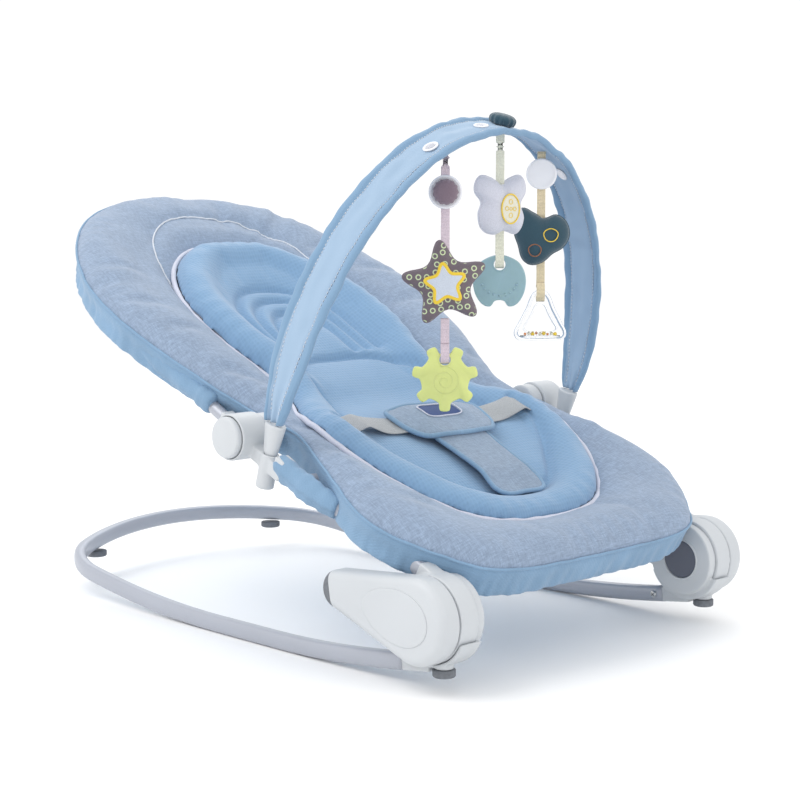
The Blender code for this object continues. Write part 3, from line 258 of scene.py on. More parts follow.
def paint(name, colour):
    """Silver-grey powder coat on steel."""
    s = Shader(name, rough=0.36, metallic=0.25, coat=0.15)
    at = s.place()
    flake = s.noise(at, 1900.0, 2.0)
    cloud = s.noise(at, 6.0, 2.0)
    tint = s.math("ADD", s.math("MULTIPLY", flake, 0.6), s.math("MULTIPLY", cloud, 0.4))
    s.link(s.ramp(tint, ((0.35, shade(colour, 0.93)), (0.65, shade(colour, 1.06)))), "Base Color")
    s.link(s.math("ADD", s.math("MULTIPLY", flake, 0.14), 0.30), "Roughness")
    s.bump(s.noise(at, 700.0, 3.0), 0.12, 0.0003)
    return s.material


def rubber(name, colour):
    s = Shader(name, rough=0.72, spec=0.35)
    at = s.place()
    s.link(s.ramp(s.noise(at, 240.0, 4.0), ((0.3, shade(colour, 0.86)), (0.7, shade(colour, 1.14)))),
           "Base Color")
    s.bump(s.noise(at, 1500.0, 3.0), 0.4, 0.0003)
    return s.material


def metal(name, colour):
    s = Shader(name, rough=0.28, metallic=1.0)
    at = s.place()
    brushed = s.noise(s.scaled(at, (160, 2400, 2400)), 1.0, 2.0)
    s.link(s.ramp(brushed, ((0.3, shade(colour, 0.85)), (0.7, shade(colour, 1.1)))), "Base Color")
    s.bump(brushed, 0.12, 0.0002)
    return s.material


def ribbed(name, colour, attribute=None, along=(0, 1, 0), pitch=0.0016):
    """Webbing or ribbon: ribs across its run."""
    s = Shader(name, rough=0.7, sheen=0.2, spec=0.3)
    at = s.place(attribute)
    run = s.add("ShaderNodeVectorMath", {0: at, 1: along}, operation="DOT_PRODUCT").outputs["Value"]
    wave = s.math("SINE", s.math("MULTIPLY", run, 2 * math.pi / pitch))
    speck = s.noise(at, 900.0, 2.0)
    tint = s.math("ADD", s.math("MULTIPLY", wave, 0.18), speck)
    s.link(s.ramp(tint, ((0.30, shade(colour, 0.80)), (0.72, shade(colour, 1.12)))), "Base Color")
    s.bump(s.math("ADD", wave, speck), 0.5, 0.0004)
    return s.material


def silicone(name, colour):
    s = Shader(name, rough=0.48, spec=0.4)
    at = s.place()
    s.set("Subsurface Weight", 0.25)
    s.set("Subsurface Radius", (0.006, 0.006, 0.003))
    s.set("Subsurface Scale", 1.0)
    s.link(s.ramp(s.noise(at, 60.0, 3.0), ((0.3, shade(colour, 0.95)), (0.7, shade(colour, 1.04)))),
           "Base Color")
    s.bump(s.noise(at, 1800.0, 2.0), 0.2, 0.0002)
    return s.material


def plush(name, colour, scale=1400.0):
    s = Shader(name, rough=0.92, sheen=0.5, spec=0.2)
    at = s.place("flat")
    fur = s.noise(at, scale, 4.0, 0.7)
    s.link(s.ramp(fur, ((0.3, shade(colour, 0.78)), (0.7, shade(colour, 1.16)))), "Base Color")
    s.bump(fur, 0.6, 0.0008)
    return s.material


def printed(name, ground, ring, pitch=0.0105):
    """Cotton printed all over with small rings."""
    s = Shader(name, rough=0.85, sheen=0.2, spec=0.25)
    at = s.place("flat")
    cells = s.add("ShaderNodeTexVoronoi", {"Vector": s.scaled(at, (1 / pitch, 1 / pitch, 0)), "Scale": 1.0,
                                           "Randomness": 0.45}, feature="F1",
                  voronoi_dimensions="2D").outputs["Distance"]
    edge = s.math("ABSOLUTE", s.math("SUBTRACT", cells, 0.25))
    ink = s.math("LESS_THAN", edge, 0.062)
    speck = s.noise(at, 1100.0, 2.0)
    cloth = s.ramp(speck, ((0.3, shade(ground, 0.85)), (0.7, shade(ground, 1.15))))
    s.link(s.mix(ink, cloth, ring), "Base Color")
    s.bump(speck, 0.4, 0.0004)
    return s.material


def clear(name, colour):
    s = Shader(name, rough=0.06, spec=0.5)
    s.set("Transmission Weight", 0.92)
    s.set("IOR", 1.30)
    at = s.place()
    s.link(s.ramp(s.noise(at, 20.0, 2.0), ((0.3, shade(colour, 0.98)), (0.7, colour))), "Base Color")
    s.bump(s.noise(at, 300.0, 1.0), 0.03, 0.0002)
    return s.material


HEATHER = heather("heather_cloth", srgb(137, 154, 177))
PAD_HEATHER = heather("pad_heather", srgb(132, 150, 172))
PLAIN = plain_cloth("plain_blue_cloth", srgb(125, 156, 185), "flat")
BAR_BLUE = plain_cloth("bar_blue_cloth", srgb(153, 177, 201), "flat")
MESH = mesh_cloth("blue_mesh", srgb(119, 152, 184))
PIPING = plain_cloth("pale_piping", srgb(205, 208, 222))
THREAD = plain_cloth("pale_thread", srgb(208, 214, 222))
WHITE = plastic("white_plastic", srgb(196, 200, 204))
BUTTON_DARK = plastic("dark_plastic", srgb(92, 96, 108), 0.5)
BLACK = plastic("black_plastic", srgb(22, 22, 24), 0.3)
RUBBER = rubber("grey_rubber", srgb(112, 116, 122))
PAINT = paint("silver_paint", srgb(172, 176, 186))
STEEL = metal("bright_steel", srgb(205, 205, 205))
WEBBING = ribbed("grey_webbing", srgb(168, 172, 176), along=(1, 0, 0))
NAVY = plain_cloth("navy_patch", srgb(30, 62, 118))
RING_WHITE = plastic("ring_white", srgb(232, 233, 238), 0.25, 0.1)
PURPLE = plush("purple_cloth", srgb(128, 112, 124))
TEAL = plush("dark_teal_cloth", srgb(52, 80, 94))
LILAC = plush("pale_lilac_cloth", srgb(206, 208, 220))
STAR = printed("ring_print", srgb(112, 101, 108), srgb(200, 214, 172))
YELLOW = plush("yellow_thread", srgb(240, 206, 70), 2200.0)
CREAM_PATCH = plush("cream_patch", srgb(226, 224, 208), 2200.0)
PALE_PATCH = plush("pale_patch", srgb(206, 214, 226), 2200.0)
BROWN = plush("brown_thread", srgb(150, 98, 66), 2200.0)
GREEN_SILICONE = silicone("green_silicone", srgb(212, 220, 140))
TEAL_SILICONE = silicone("teal_silicone", srgb(143, 174, 184))
PINK = ribbed("pink_ribbon", srgb(219, 203, 213), along=(0, 0, 1))
CREAM = ribbed("cream_ribbon", srgb(230, 231, 214), along=(0, 0, 1))
BEIGE = ribbed("beige_ribbon", srgb(226, 211, 178), along=(0, 0, 1))
CLEAR = clear("clear_plastic", (0.97, 0.98, 1.0))
BEADS = plastic("beads", srgb(216, 140, 92), 0.3)

# ---------------------------------------------------------------- meshes


def build(name, verts, faces, mat, weld=False, smooth=True):
    mesh = bpy.data.meshes.new(name)
    mesh.from_pydata([tuple(v) for v in verts], [], faces)
    shape = bmesh.new()
    shape.from_mesh(mesh)
    if weld:
        bmesh.ops.remove_doubles(shape, verts=shape.verts, dist=1e-6)
    bmesh.ops.recalc_face_normals(shape, faces=shape.faces)
    shape.to_mesh(mesh)
    shape.free()
    for face in mesh.polygons:
        face.use_smooth = smooth
    mesh.materials.append(mat)
    made = bpy.data.objects.new(name, mesh)
    scene.collection.objects.link(made)
    return made


def fit(made, body, slot, *replaced):
    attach(made, body)
    if replaced:
        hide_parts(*replaced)


def points_of(made):
    co = np.zeros(len(made.data.vertices) * 3)
    made.data.vertices.foreach_get("co", co)
    return co.reshape(-1, 3)


def put_points(made, co):
    made.data.vertices.foreach_set("co", np.ascontiguousarray(co, np.float32).ravel())
    made.data.update()


def store_flat(made, co=None):
    """Keeps where each vertex lies on the flat cloth, for the weave."""
    co = points_of(made) if co is None else co
    attributes = made.data.attributes
    attribute = attributes.get("flat") or attributes.new("flat", "FLOAT_VECTOR", "POINT")
    attribute.data.foreach_set("vector", np.ascontiguousarray(co, np.float32).ravel())


def baked(made):
    """The object's modifiers applied."""
    graph = bpy.context.evaluated_depsgraph_get()
    mesh = bpy.data.meshes.new_from_object(made.evaluated_get(graph))
    made.modifiers.clear()
    made.data = mesh
    return made


def subdivide(made, levels=1):
    change = made.modifiers.new("subdivision", "SUBSURF")
    change.levels = change.render_levels = levels
    return made


def loft(rings, closed_ring=True, caps=True):
    """Faces that join rings of equal length."""
    verts = [v for ring in rings for v in ring]
    n = len(rings[0])
    faces = []
    last = n if closed_ring else n - 1
    for r in range(len(rings) - 1):
        for i in range(last):
            k = (i + 1) % n
            faces.append((r * n + i, r * n + k, (r + 1) * n + k, (r + 1) * n + i))
    if caps and closed_ring:
        faces.append(tuple(range(n))[::-1])
        faces.append(tuple((len(rings) - 1) * n + i for i in range(n)))
    return verts, faces


def sweep(name, path, section, mat, up=Vector((0, 0, 1)), closed=False, scale=None):
    """A section carried along a path. Its first axis lies sideways, its second towards up."""
    path = [Vector(p) for p in path]
    rings = []
    for i, point in enumerate(path):
        before = path[i - 1] if i or closed else path[i]
        after = path[(i + 1) % len(path)] if i + 1 < len(path) or closed else path[i]
        along = (after - before).normalized()
        lift = up[i] if isinstance(up, list) else up
        across = along.cross(lift).normalized()
        rise = across.cross(along).normalized()
        size = scale[i] if scale else 1.0
        rings.append([point + size * (a * across + b * rise) for a, b in section])
    if closed:
        rings.append(rings[0])
    verts, faces = loft(rings, caps=not closed)
    return build(name, verts, faces, mat, weld=closed)


def oval(width, height, power=2.0, count=24):
    """A superellipse section."""
    made = []
    for i in range(count):
        a = 2 * math.pi * (i + 0.5) / count
        x, y = math.cos(a), math.sin(a)
        made.append((math.copysign(abs(x) ** (2 / power), x) * width / 2,
                     math.copysign(abs(y) ** (2 / power), y) * height / 2))
    return made


def lathe(name, origin, axis, profile, mat, steps=64, wave=None, flat=False):
    """A profile of (radius, distance along the axis) turned round the axis."""
    axis = Vector(axis).normalized()
    side = axis.orthogonal().normalized()
    other = axis.cross(side)
    rings = []
    for radius, along in profile:
        ring = []
        for i in range(steps):
            a = 2 * math.pi * i / steps
            r = radius * (wave(a, radius, along) if wave else 1.0)
            ring.append(Vector(origin) + axis * along + r * (math.cos(a) * side + math.sin(a) * other))
        rings.append(ring)
    verts, faces = loft(rings)
    made = build(name, verts, faces, mat)
    if flat:
        store_flat(made)
    return made


def rounded_profile(radius, low, high, low_edge, high_edge, steps=5, bore=0.0):
    """A disc's profile from one middle to the other, its rims rounded."""
    start = max(bore, 1e-4)
    profile = [(start, low)]
    for i in range(steps + 1):
        a = math.pi / 2 * i / steps
        profile.append((radius - low_edge * (1 - math.sin(a)), low + low_edge * (1 - math.cos(a))))
    for i in range(steps + 1):
        a = math.pi / 2 * i / steps
        profile.append((radius - high_edge * (1 - math.cos(a)), high - high_edge * (1 - math.sin(a))))
    profile.append((start, high))
    return profile


def hermite(points, steps=8, closed=True):
    """A smooth line through points, its tangents as long as each chord."""
    points = [Vector(p) for p in points]
    count = len(points)
    made = []
    for i in range(count if closed else count - 1):
        start, end = points[i], points[(i + 1) % count]
        before = points[i - 1] if i or closed else start
        after = points[(i + 2) % count] if i + 2 < count or closed else end
        chord = (end - start).length
        leave, arrive = (end - before).normalized() * chord, (after - start).normalized() * chord
        for k in range(steps):
            t = k / steps
            made.append((2 * t ** 3 - 3 * t * t + 1) * start + (t ** 3 - 2 * t * t + t) * leave
                        + (3 * t * t - 2 * t ** 3) * end + (t ** 3 - t * t) * arrive)
    if not closed:
        made.append(points[-1])
    return made


def mirrored(half):
    """A half outline given from the foot end to the head end, made whole."""
    return [(x, y) for x, y in half] + [(-x, y) for x, y in reversed(half) if x > 1e-6]


def resampled(line, spacing, closed=True):
    """The line's points at an even spacing."""
    pts = np.array([tuple(p)[:2] for p in line], float)
    if closed:
        pts = np.vstack([pts, pts[:1]])
    step = np.linalg.norm(np.diff(pts, axis=0), axis=1)
    run = np.concatenate([[0], np.cumsum(step)])
    count = max(int(run[-1] / spacing), 8)
    at = np.linspace(0, run[-1], count, endpoint=not closed)
    return np.stack([np.interp(at, run, pts[:, 0]), np.interp(at, run, pts[:, 1])], axis=1)


def distance_to(line, co, closed=True):
    """Distance in the flat plane from each point to a line, and how far round it that is."""
    a = np.array(line, float)[:, :2]
    b = np.roll(a, -1, axis=0)
    if not closed:
        a, b = a[:-1], b[:-1]
    best = np.full(len(co), 1e9)
    round_at = np.zeros(len(co))
    run = 0.0
    for p, q in zip(a, b):
        d = q - p
        size = float(d @ d) ** 0.5
        t = np.clip((co[:, :2] - p) @ d / max(size * size, 1e-12), 0, 1)
        gap = np.linalg.norm(co[:, :2] - (p + t[:, None] * d), axis=1)
        near = gap < best
        best[near] = gap[near]
        round_at[near] = run + t[near] * size
        run += size
    return best, round_at


def grown(line, out):
    """A closed line moved outwards."""
    a = np.array(line, float)[:, :2]
    along = np.roll(a, -1, axis=0) - np.roll(a, 1, axis=0)
    along /= np.linalg.norm(along, axis=1, keepdims=True)
    turn = np.sign(np.sum(a[:, 0] * np.roll(a[:, 1], -1) - np.roll(a[:, 0], -1) * a[:, 1]))
    return [tuple(p) for p in a + turn * out * np.column_stack([along[:, 1], -along[:, 0]])]


def inside(line, co):
    """Which points lie inside a closed line."""
    a = np.array(line, float)[:, :2]
    b = np.roll(a, -1, axis=0)
    found = np.zeros(len(co), bool)
    x, y = co[:, 0], co[:, 1]
    for (x0, y0), (x1, y1) in zip(a, b):
        crosses = (y0 > y) != (y1 > y)
        with np.errstate(divide="ignore", invalid="ignore"):
            at = (x1 - x0) * (y - y0) / (y1 - y0) + x0
        found ^= crosses & (x < at)
    return found


def smooth01(t):
    t = np.clip(t, 0, 1)
    return t * t * (3 - 2 * t)


def slab(name, outline, low, high, voxel, mat):
    """A flat closed slab of an outline, remeshed into even quads."""
    n = len(outline)
    verts = [(x, y, low) for x, y in outline] + [(x, y, high) for x, y in outline]
    faces = [tuple(range(n)), tuple(range(2 * n - 1, n - 1, -1))]
    faces += [(i, (i + 1) % n, n + (i + 1) % n, n + i) for i in range(n)]
    made = build(name, verts, faces, mat)
    change = made.modifiers.new("remesh", "REMESH")
    change.mode = "VOXEL"
    change.voxel_size = voxel
    baked(made)
    return made


def inflate(made, pinned, cap, pressure=4.0, frames=20):
    """Cloth under pressure, its pinned vertices held, each point moved no further than cap."""
    rest = points_of(made)
    group = made.vertex_groups.new(name="pinned")
    group.add([int(i) for i in np.nonzero(pinned)[0]], 1.0, "REPLACE")
    cloth = made.modifiers.new("cloth", "CLOTH")
    s = cloth.settings
    s.quality = 4
    s.mass = 0.25
    s.tension_stiffness = s.compression_stiffness = 12
    s.shear_stiffness = 4
    s.bending_stiffness = 0.3
    s.use_pressure = True
    s.uniform_pressure_force = pressure
    s.effector_weights.gravity = 0
    s.vertex_group_mass = "pinned"
    cloth.point_cache.frame_start = 1
    cloth.point_cache.frame_end = frames
    for f in range(1, frames + 1):
        scene.frame_set(f)
    graph = bpy.context.evaluated_depsgraph_get()
    shown = made.evaluated_get(graph).to_mesh()
    co = np.zeros(len(shown.vertices) * 3)
    shown.vertices.foreach_get("co", co)
    made.modifiers.clear()
    made.vertex_groups.clear()
    scene.frame_set(1)
    move = co.reshape(-1, 3) - rest
    size = np.linalg.norm(move, axis=1, keepdims=True)
    move *= np.where(size > 1e-9, cap * np.tanh(size / cap) / np.maximum(size, 1e-9), 0)
    put_points(made, rest + move)
    return made


def relax(made, rounds=2, factor=0.5):
    """Laplacian smoothing of the whole mesh."""
    co = points_of(made)
    edges = np.zeros(len(made.data.edges) * 2, int)
    made.data.edges.foreach_get("vertices", edges)
    edges = edges.reshape(-1, 2)
    count = np.bincount(edges.ravel(), minlength=len(co))[:, None]
    for _ in range(rounds):
        total = np.zeros_like(co)
        np.add.at(total, edges[:, 0], co[edges[:, 1]])
        np.add.at(total, edges[:, 1], co[edges[:, 0]])
        co = co + factor * (total / np.maximum(count, 1) - co)
    put_points(made, co)
    return made


# ---------------------------------------------------------------- the flat cloth's place in space


def sling(co):
    """Flat cloth to the row frame: seat plane, a soft bend at the recline axis, back plane."""
    co = np.asarray(co, float)
    x, s, h = co[:, 0], co[:, 1], co[:, 2]
    share = smooth01((s - HINGE_SPAN[0]) / (HINGE_SPAN[1] - HINGE_SPAN[0]))[:, None]
    out = []
    for place, top in ((SEAT, SEAT_TOP), (BACK, BACK_TOP)):
        m = np.array(place)
        local = np.stack([x, s, h + top], axis=1)
        out.append(local @ m[:3, :3].T + m[:3, 3])
    return out[0] * (1 - share) + out[1] * share


def dish(co):
    """How far the cloth sags between the tubes."""
    x, s = co[:, 0], co[:, 1]
    across = np.clip(1 - (x / 0.215) ** 2, 0, 1) ** 1.2
    ends = smooth01((s + 0.325) / 0.11) * smooth01((0.50 - s) / 0.22)
    return 0.020 * across * ends


def waves(co, scale, amount, seed=0.0):
    return np.array([noise.noise(Vector((a * scale, b * scale, seed))) for a, b in co[:, :2]]) * amount


def blend_at_hinge(made):
    """The cloth follows the seat before the hinge and the backrest after it."""
    start = Vector(sling(np.array([[0, HINGE_SPAN[0], -0.012]]))[0])
    end = Vector(sling(np.array([[0, HINGE_SPAN[1], -0.012]]))[0])
    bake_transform(made, "seat_frame", "backrest", start=start, end=end)


def flat_tube(name, line, radius, mat, height, closed=True, spacing=0.004, dished=0.0, ripple=0.0):
    """A cord sewn along a line of the flat cloth; height is a number or a function of the points."""
    pts = resampled(line, spacing, closed)
    co = np.column_stack([pts, np.zeros(len(pts))])
    co[:, 2] = height(co) if callable(height) else height
    if ripple:
        co[:, 2] += waves(co, 55.0, ripple, 3.0)
    co[:, 2] -= dished * dish(co)
    world = sling(co)
    section = oval(radius * 2, radius * 2, 2.0, 10)
    made = sweep(name, [Vector(p) for p in world], section, mat, up=SEAT_UP, closed=closed)
    flat = np.repeat(co, len(section), axis=0)
    if len(flat) != len(made.data.vertices):
        flat = points_of(made)
    store_flat(made, flat)
    return made


# ---------------------------------------------------------------- padded cover

COVER_LINE = [tuple(p) for p in hermite(mirrored(COVER_OUTLINE), 5)]
REDUCER_LINE = [tuple(p) for p in hermite(mirrored(REDUCER_OUTLINE), 5)]


def arch_line(half, side_from, top, power=2.4, count=36, middle=0.0, low=None):
    """A round-headed line, up one side, over the top and down the other."""
    rise = top - side_from
    made = []
    if low is not None:
        made += [(middle - half, s) for s in np.linspace(low, side_from, 8)[:-1]]
    for i in range(count + 1):
        a = math.pi * (1 - i / count)
        x, y = math.cos(a), math.sin(a)
        made.append((middle + math.copysign(abs(x) ** (2 / power), x) * half,
                     side_from + abs(y) ** (2 / power) * rise))
    if low is not None:
        made += [(middle + half, s) for s in np.linspace(side_from, low, 8)[1:]]
    return made


HEAD_STITCH = arch_line(0.134, 0.300, 0.470, low=0.268)


def cover_height(edge, in_reducer, reducer_gap):
    """The top's crown: full at the rim's roll, flat under the reducer."""
    roll = 0.0165 * (1 - np.exp(-edge / 0.014)) - 0.0095 * smooth01((0.042 - reducer_gap) / 0.034)
    roll -= 0.0050 * smooth01((edge - 0.045) / 0.050) * smooth01((reducer_gap - 0.020) / 0.030)
    under = smooth01((reducer_gap * np.where(in_reducer, 1, -1) + 0.016) / 0.030)
    return roll * (1 - under) - 0.004 * under


COVER_FOLDS = (  # each soft fold's start, end, depth and width
    ((-0.020, 0.340), (0.190, 0.505), 0.0055, 0.0055),
    ((0.030, 0.395), (0.160, 0.540), 0.0035, 0.0055),
    ((0.262, 0.300), (0.175, 0.330), 0.0048, 0.0060),
    ((0.255, 0.240), (0.170, 0.235), 0.0040, 0.0060),
    ((0.232, 0.405), (0.120, 0.375), 0.0055, 0.0060),
    ((0.165, 0.480), (0.085, 0.400), 0.0052, 0.0060),
    ((0.060, 0.525), (0.030, 0.430), 0.0044, 0.0060),
    ((-0.262, 0.270), (-0.190, 0.245), 0.0040, 0.0060),
    ((-0.245, 0.200), (-0.180, 0.190), 0.0040, 0.0060),
    ((-0.250, 0.350), (-0.170, 0.330), 0.0034, 0.0060),
    ((-0.215, -0.020), (-0.170, -0.030), 0.0036, 0.0060),
    ((-0.225, -0.190), (-0.150, -0.235), 0.0030, 0.0060),
    ((-0.090, -0.300), (-0.060, -0.255), 0.0032, 0.0060),
    ((0.100, -0.300), (0.075, -0.250), 0.0030, 0.0060),
    ((-0.235, 0.135), (-0.160, 0.060), 0.0040, 0.0055),
    ((0.235, 0.120), (0.165, 0.050), 0.0034, 0.0055),
    ((-0.200, -0.060), (-0.235, -0.130), 0.0030, 0.0055),
    ((0.200, -0.050), (0.232, -0.125), 0.0028, 0.0055))
SKIRT_MIDDLE = np.array([0.0, 0.1])  # the point that the skirt draws in towards
BLUE_BELOW = -0.0035  # the cloth is plain blue under this height


def draw_skirt(co, rest, edge, around):
    """The skirt draws in below the seam and is gathered by its elastic."""
    below = smooth01((-rest[:, 2] - 0.004) / 0.018)
    toward = SKIRT_MIDDLE - co[:, :2]
    size = np.linalg.norm(toward, axis=1, keepdims=True)
    gather = np.sin(around * 330 + 3 * np.sin(around * 47)) * 0.0014 + waves(rest, 40.0, 0.0016, 2.0)
    pull = 0.0020 + 0.0060 * smooth01((rest[:, 1] + 0.30) / 0.10)
    draw = pull * below * smooth01(1 - edge / 0.05) + gather * below * smooth01(1 - edge / 0.02)
    co[:, :2] += toward / np.maximum(size, 1e-6) * draw[:, None]


def make_cover():
    voxel = 0.0062
    made = slab("seat_and_back_cover", COVER_LINE, -COVER_DEPTH, 0.002, voxel, HEATHER)
    co = points_of(made)
    edge, around = distance_to(COVER_LINE, co)
    stitch, _ = distance_to(HEAD_STITCH, co, False)
    seam = (np.abs(co[:, 2] + 0.001) < 0.0035) & (edge < 0.005)
    top = co[:, 2] > -0.004
    tucked = co[:, 2] < -COVER_DEPTH + 0.004
    rest = co.copy()
    inflate(made, seam | tucked | (top & (stitch < 0.004)), 0.0060, 3.0)
    co = points_of(made)
    gap, _ = distance_to(REDUCER_LINE, rest)
    within = inside(REDUCER_LINE, rest)
    high = smooth01((rest[:, 2] + 0.020) / 0.020)
    lift = cover_height(edge, within, gap)
    groove = -0.0042 * np.exp(-(stitch / 0.0060) ** 2)
    clear_of_rim = smooth01(edge / 0.010)
    # soft rolls across the cloth and small puckers that run in from the rim
    rolls = waves(rest, 11.0, 0.0046, 1.0) + waves(rest, 26.0, 0.0022, 5.0)
    puckers = (np.sin(around * 170 + 5 * np.sin(around * 31)) * 0.0017
               * np.exp(-((edge - 0.020) / 0.020) ** 2) * (0.55 + waves(rest, 9.0, 1.0, 7.0)))
    fold = sum(crease(rest, *line) for line in COVER_FOLDS)
    up = (lift + groove + (rolls + puckers - fold) * clear_of_rim * (1 - within)) * high
    co[:, 2] += up
    draw_skirt(co, rest, edge, around)
    co[:, 2] -= dish(rest)
    store_flat(made, rest)
    made.data.materials.append(PLAIN)
    for face in made.data.polygons:
        if np.mean([rest[i, 2] for i in face.vertices]) < BLUE_BELOW:
            face.material_index = 1
    upper = rest[:, 2] > -0.004
    places, levels = rest[upper, :2], (co[:, 2] + dish(rest))[upper]
    put_points(made, sling(co))
    relax(made, 1, 0.25)
    subdivide(made)
    blend_at_hinge(made)
    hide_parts("seat_cover", "back_cover")

    def rim(points):
        return np.full(len(points), -0.0012)

    piping = flat_tube("cover_piping", COVER_LINE, 0.0017, PLAIN, rim, ripple=0.0008)
    blend_at_hinge(piping)

    def seat_on_top(points):
        near = [np.argsort(np.sum((places - p[:2]) ** 2, axis=1))[:4] for p in points]
        return np.array([levels[n].mean() for n in near]) + 0.0006

    thread = flat_tube("head_stitching", HEAD_STITCH, 0.0011, THREAD, seat_on_top, False, dished=1.0)
    fit(thread, "backrest", "heather_fabric")


def crease(co, start, end, depth, width):
    """A fold that runs from start to end and fades at both."""
    a, b = np.array(start), np.array(end)
    d = b - a
    t = (co[:, :2] - a) @ d / (d @ d)
    off = np.linalg.norm(co[:, :2] - (a + np.clip(t, 0, 1)[:, None] * d), axis=1)
    bend = 0.010 * np.sin(np.clip(t, 0, 1) * 5)
    fade = np.clip(np.sin(np.pi * np.clip(t, 0.0, 1.0)), 0, 1)
    return depth * fade * np.exp(-((off - np.abs(bend) * 0.4) / width) ** 2)


# ---------------------------------------------------------------- reducer cushion

HEAD_ARCHES = [arch_line(0.083, 0.205, 0.305, 2.2, low=0.150),
               arch_line(0.063, 0.195, 0.277, 2.2, low=0.150),
               arch_line(0.043, 0.180, 0.247, 2.2, low=0.150)]
SEAT_PANEL = [tuple(p) for p in hermite(
    [(-0.150, -0.030), (-0.148, -0.075), (-0.128, -0.120), (-0.098, -0.158), (-0.074, -0.184),
     (-0.040, -0.202),
     (0.0, -0.206), (0.040, -0.202), (0.074, -0.184), (0.098, -0.158), (0.128, -0.120), (0.148, -0.075),
     (0.150, -0.030)], 5, False)]
LUMBAR = [tuple(p) for p in hermite(
    [(-0.118, -0.020), (-0.098, 0.045), (-0.092, 0.095), (-0.060, 0.128), (0.0, 0.138), (0.060, 0.128),
     (0.092, 0.095), (0.098, 0.045), (0.118, -0.020)], 5, False)]
REDUCER_BASE = 0.0055


def reducer_height(co, edge):
    """A rolled rim round a lower middle."""
    head = smooth01((co[:, 1] - 0.02) / 0.10)
    rim = (0.0135 + 0.0095 * head) * (1 - np.exp(-edge / 0.010))
    middle = (0.0125 + 0.0040 * head) * smooth01((edge - 0.026) / 0.034)
    return rim - middle


def make_reducer():
    voxel = 0.0045
    made = slab("reducer_cushion", REDUCER_LINE, REDUCER_BASE, REDUCER_DEPTH - 0.008, voxel, MESH)
    rest = points_of(made)
    edge, around = distance_to(REDUCER_LINE, rest)
    grooves = [distance_to(line, rest, False)[0] for line in (*HEAD_ARCHES, SEAT_PANEL, LUMBAR)]
    nearest = np.min(grooves, axis=0)
    top = rest[:, 2] > REDUCER_DEPTH - 0.013
    seam = (edge < 0.0045) & (rest[:, 2] < REDUCER_BASE + 0.0045)
    start = rest.copy()
    channels = 0.0066 * np.exp(-(nearest / 0.0050) ** 2)
    start[:, 2] += np.where(top, reducer_height(rest, edge) * 0.6 - channels, 0)
    put_points(made, start)
    bottom = rest[:, 2] < REDUCER_BASE + 0.002
    inflate(made, seam | bottom | (top & (nearest < 0.0030)), 0.0075, 4.5)
    co = points_of(made)
    high = smooth01((rest[:, 2] - REDUCER_BASE) / 0.008)
    co[:, 2] += (reducer_height(rest, edge) * 0.6 + waves(rest, 17.0, 0.0022, 9.0)
                 - 0.0030 * np.exp(-(nearest / 0.0055) ** 2)) * high
    near_rim = np.exp(-((edge - 0.012) / 0.012) ** 2)
    co[:, 2] += np.sin(around * 170 + 4 * np.sin(around * 23)) * 0.0009 * near_rim * high
    co[:, 2] -= dish(rest) * (1.0 + 0.15 * smooth01(1 - np.abs(rest[:, 0]) / 0.1))
    store_flat(made, rest)
    made.data.materials.append(PIPING)
    for face in made.data.polygons:
        if max(rest[i, 2] for i in face.vertices) < REDUCER_BASE + 0.003:
            face.material_index = 1
    put_points(made, sling(co))
    subdivide(made)
    blend_at_hinge(made)
    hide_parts("seat_reducer", "back_reducer")
    rim = flat_tube("reducer_piping", grown(REDUCER_LINE, 0.0030), 0.0034, PIPING, REDUCER_BASE + 0.0020,
                    dished=1.0, ripple=0.0014)
    blend_at_hinge(rim)


# ---------------------------------------------------------------- harness

PAD_LEVEL = 0.0250  # above the cover's plane


def pad(name, outline, level, depth, mat, body, slot, replaced=(), binding=None, cap=0.0025):
    """A small flat pad with a bound edge, laid on the reducer."""
    line = [tuple(p) for p in hermite(outline, 4)]
    made = slab(name, line, 0.0, depth, 0.0028, mat)
    rest = points_of(made)
    edge, _ = distance_to(line, rest)
    inflate(made, edge < 0.0035, cap, 3.0)
    co = points_of(made)

    def lie(points):
        base = level(points) if callable(level) else np.full(len(points), level)
        return base - dish(points) * 1.12

    co[:, 2] += lie(rest) + waves(rest, 30.0, 0.0008, 4.0)
    store_flat(made, rest)
    put_points(made, sling(co))
    relax(made, 1, 0.4)
    subdivide(made)
    fit(made, body, slot)
    if replaced:
        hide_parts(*replaced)
    if binding:
        def bound(points):
            return lie(points) + depth / 2 + waves(points, 30.0, 0.0008, 4.0)

        edge_cord = flat_tube(f"{name}_binding", line, depth * 0.55, binding, bound, spacing=0.003)
        fit(edge_cord, body, slot)
    return made


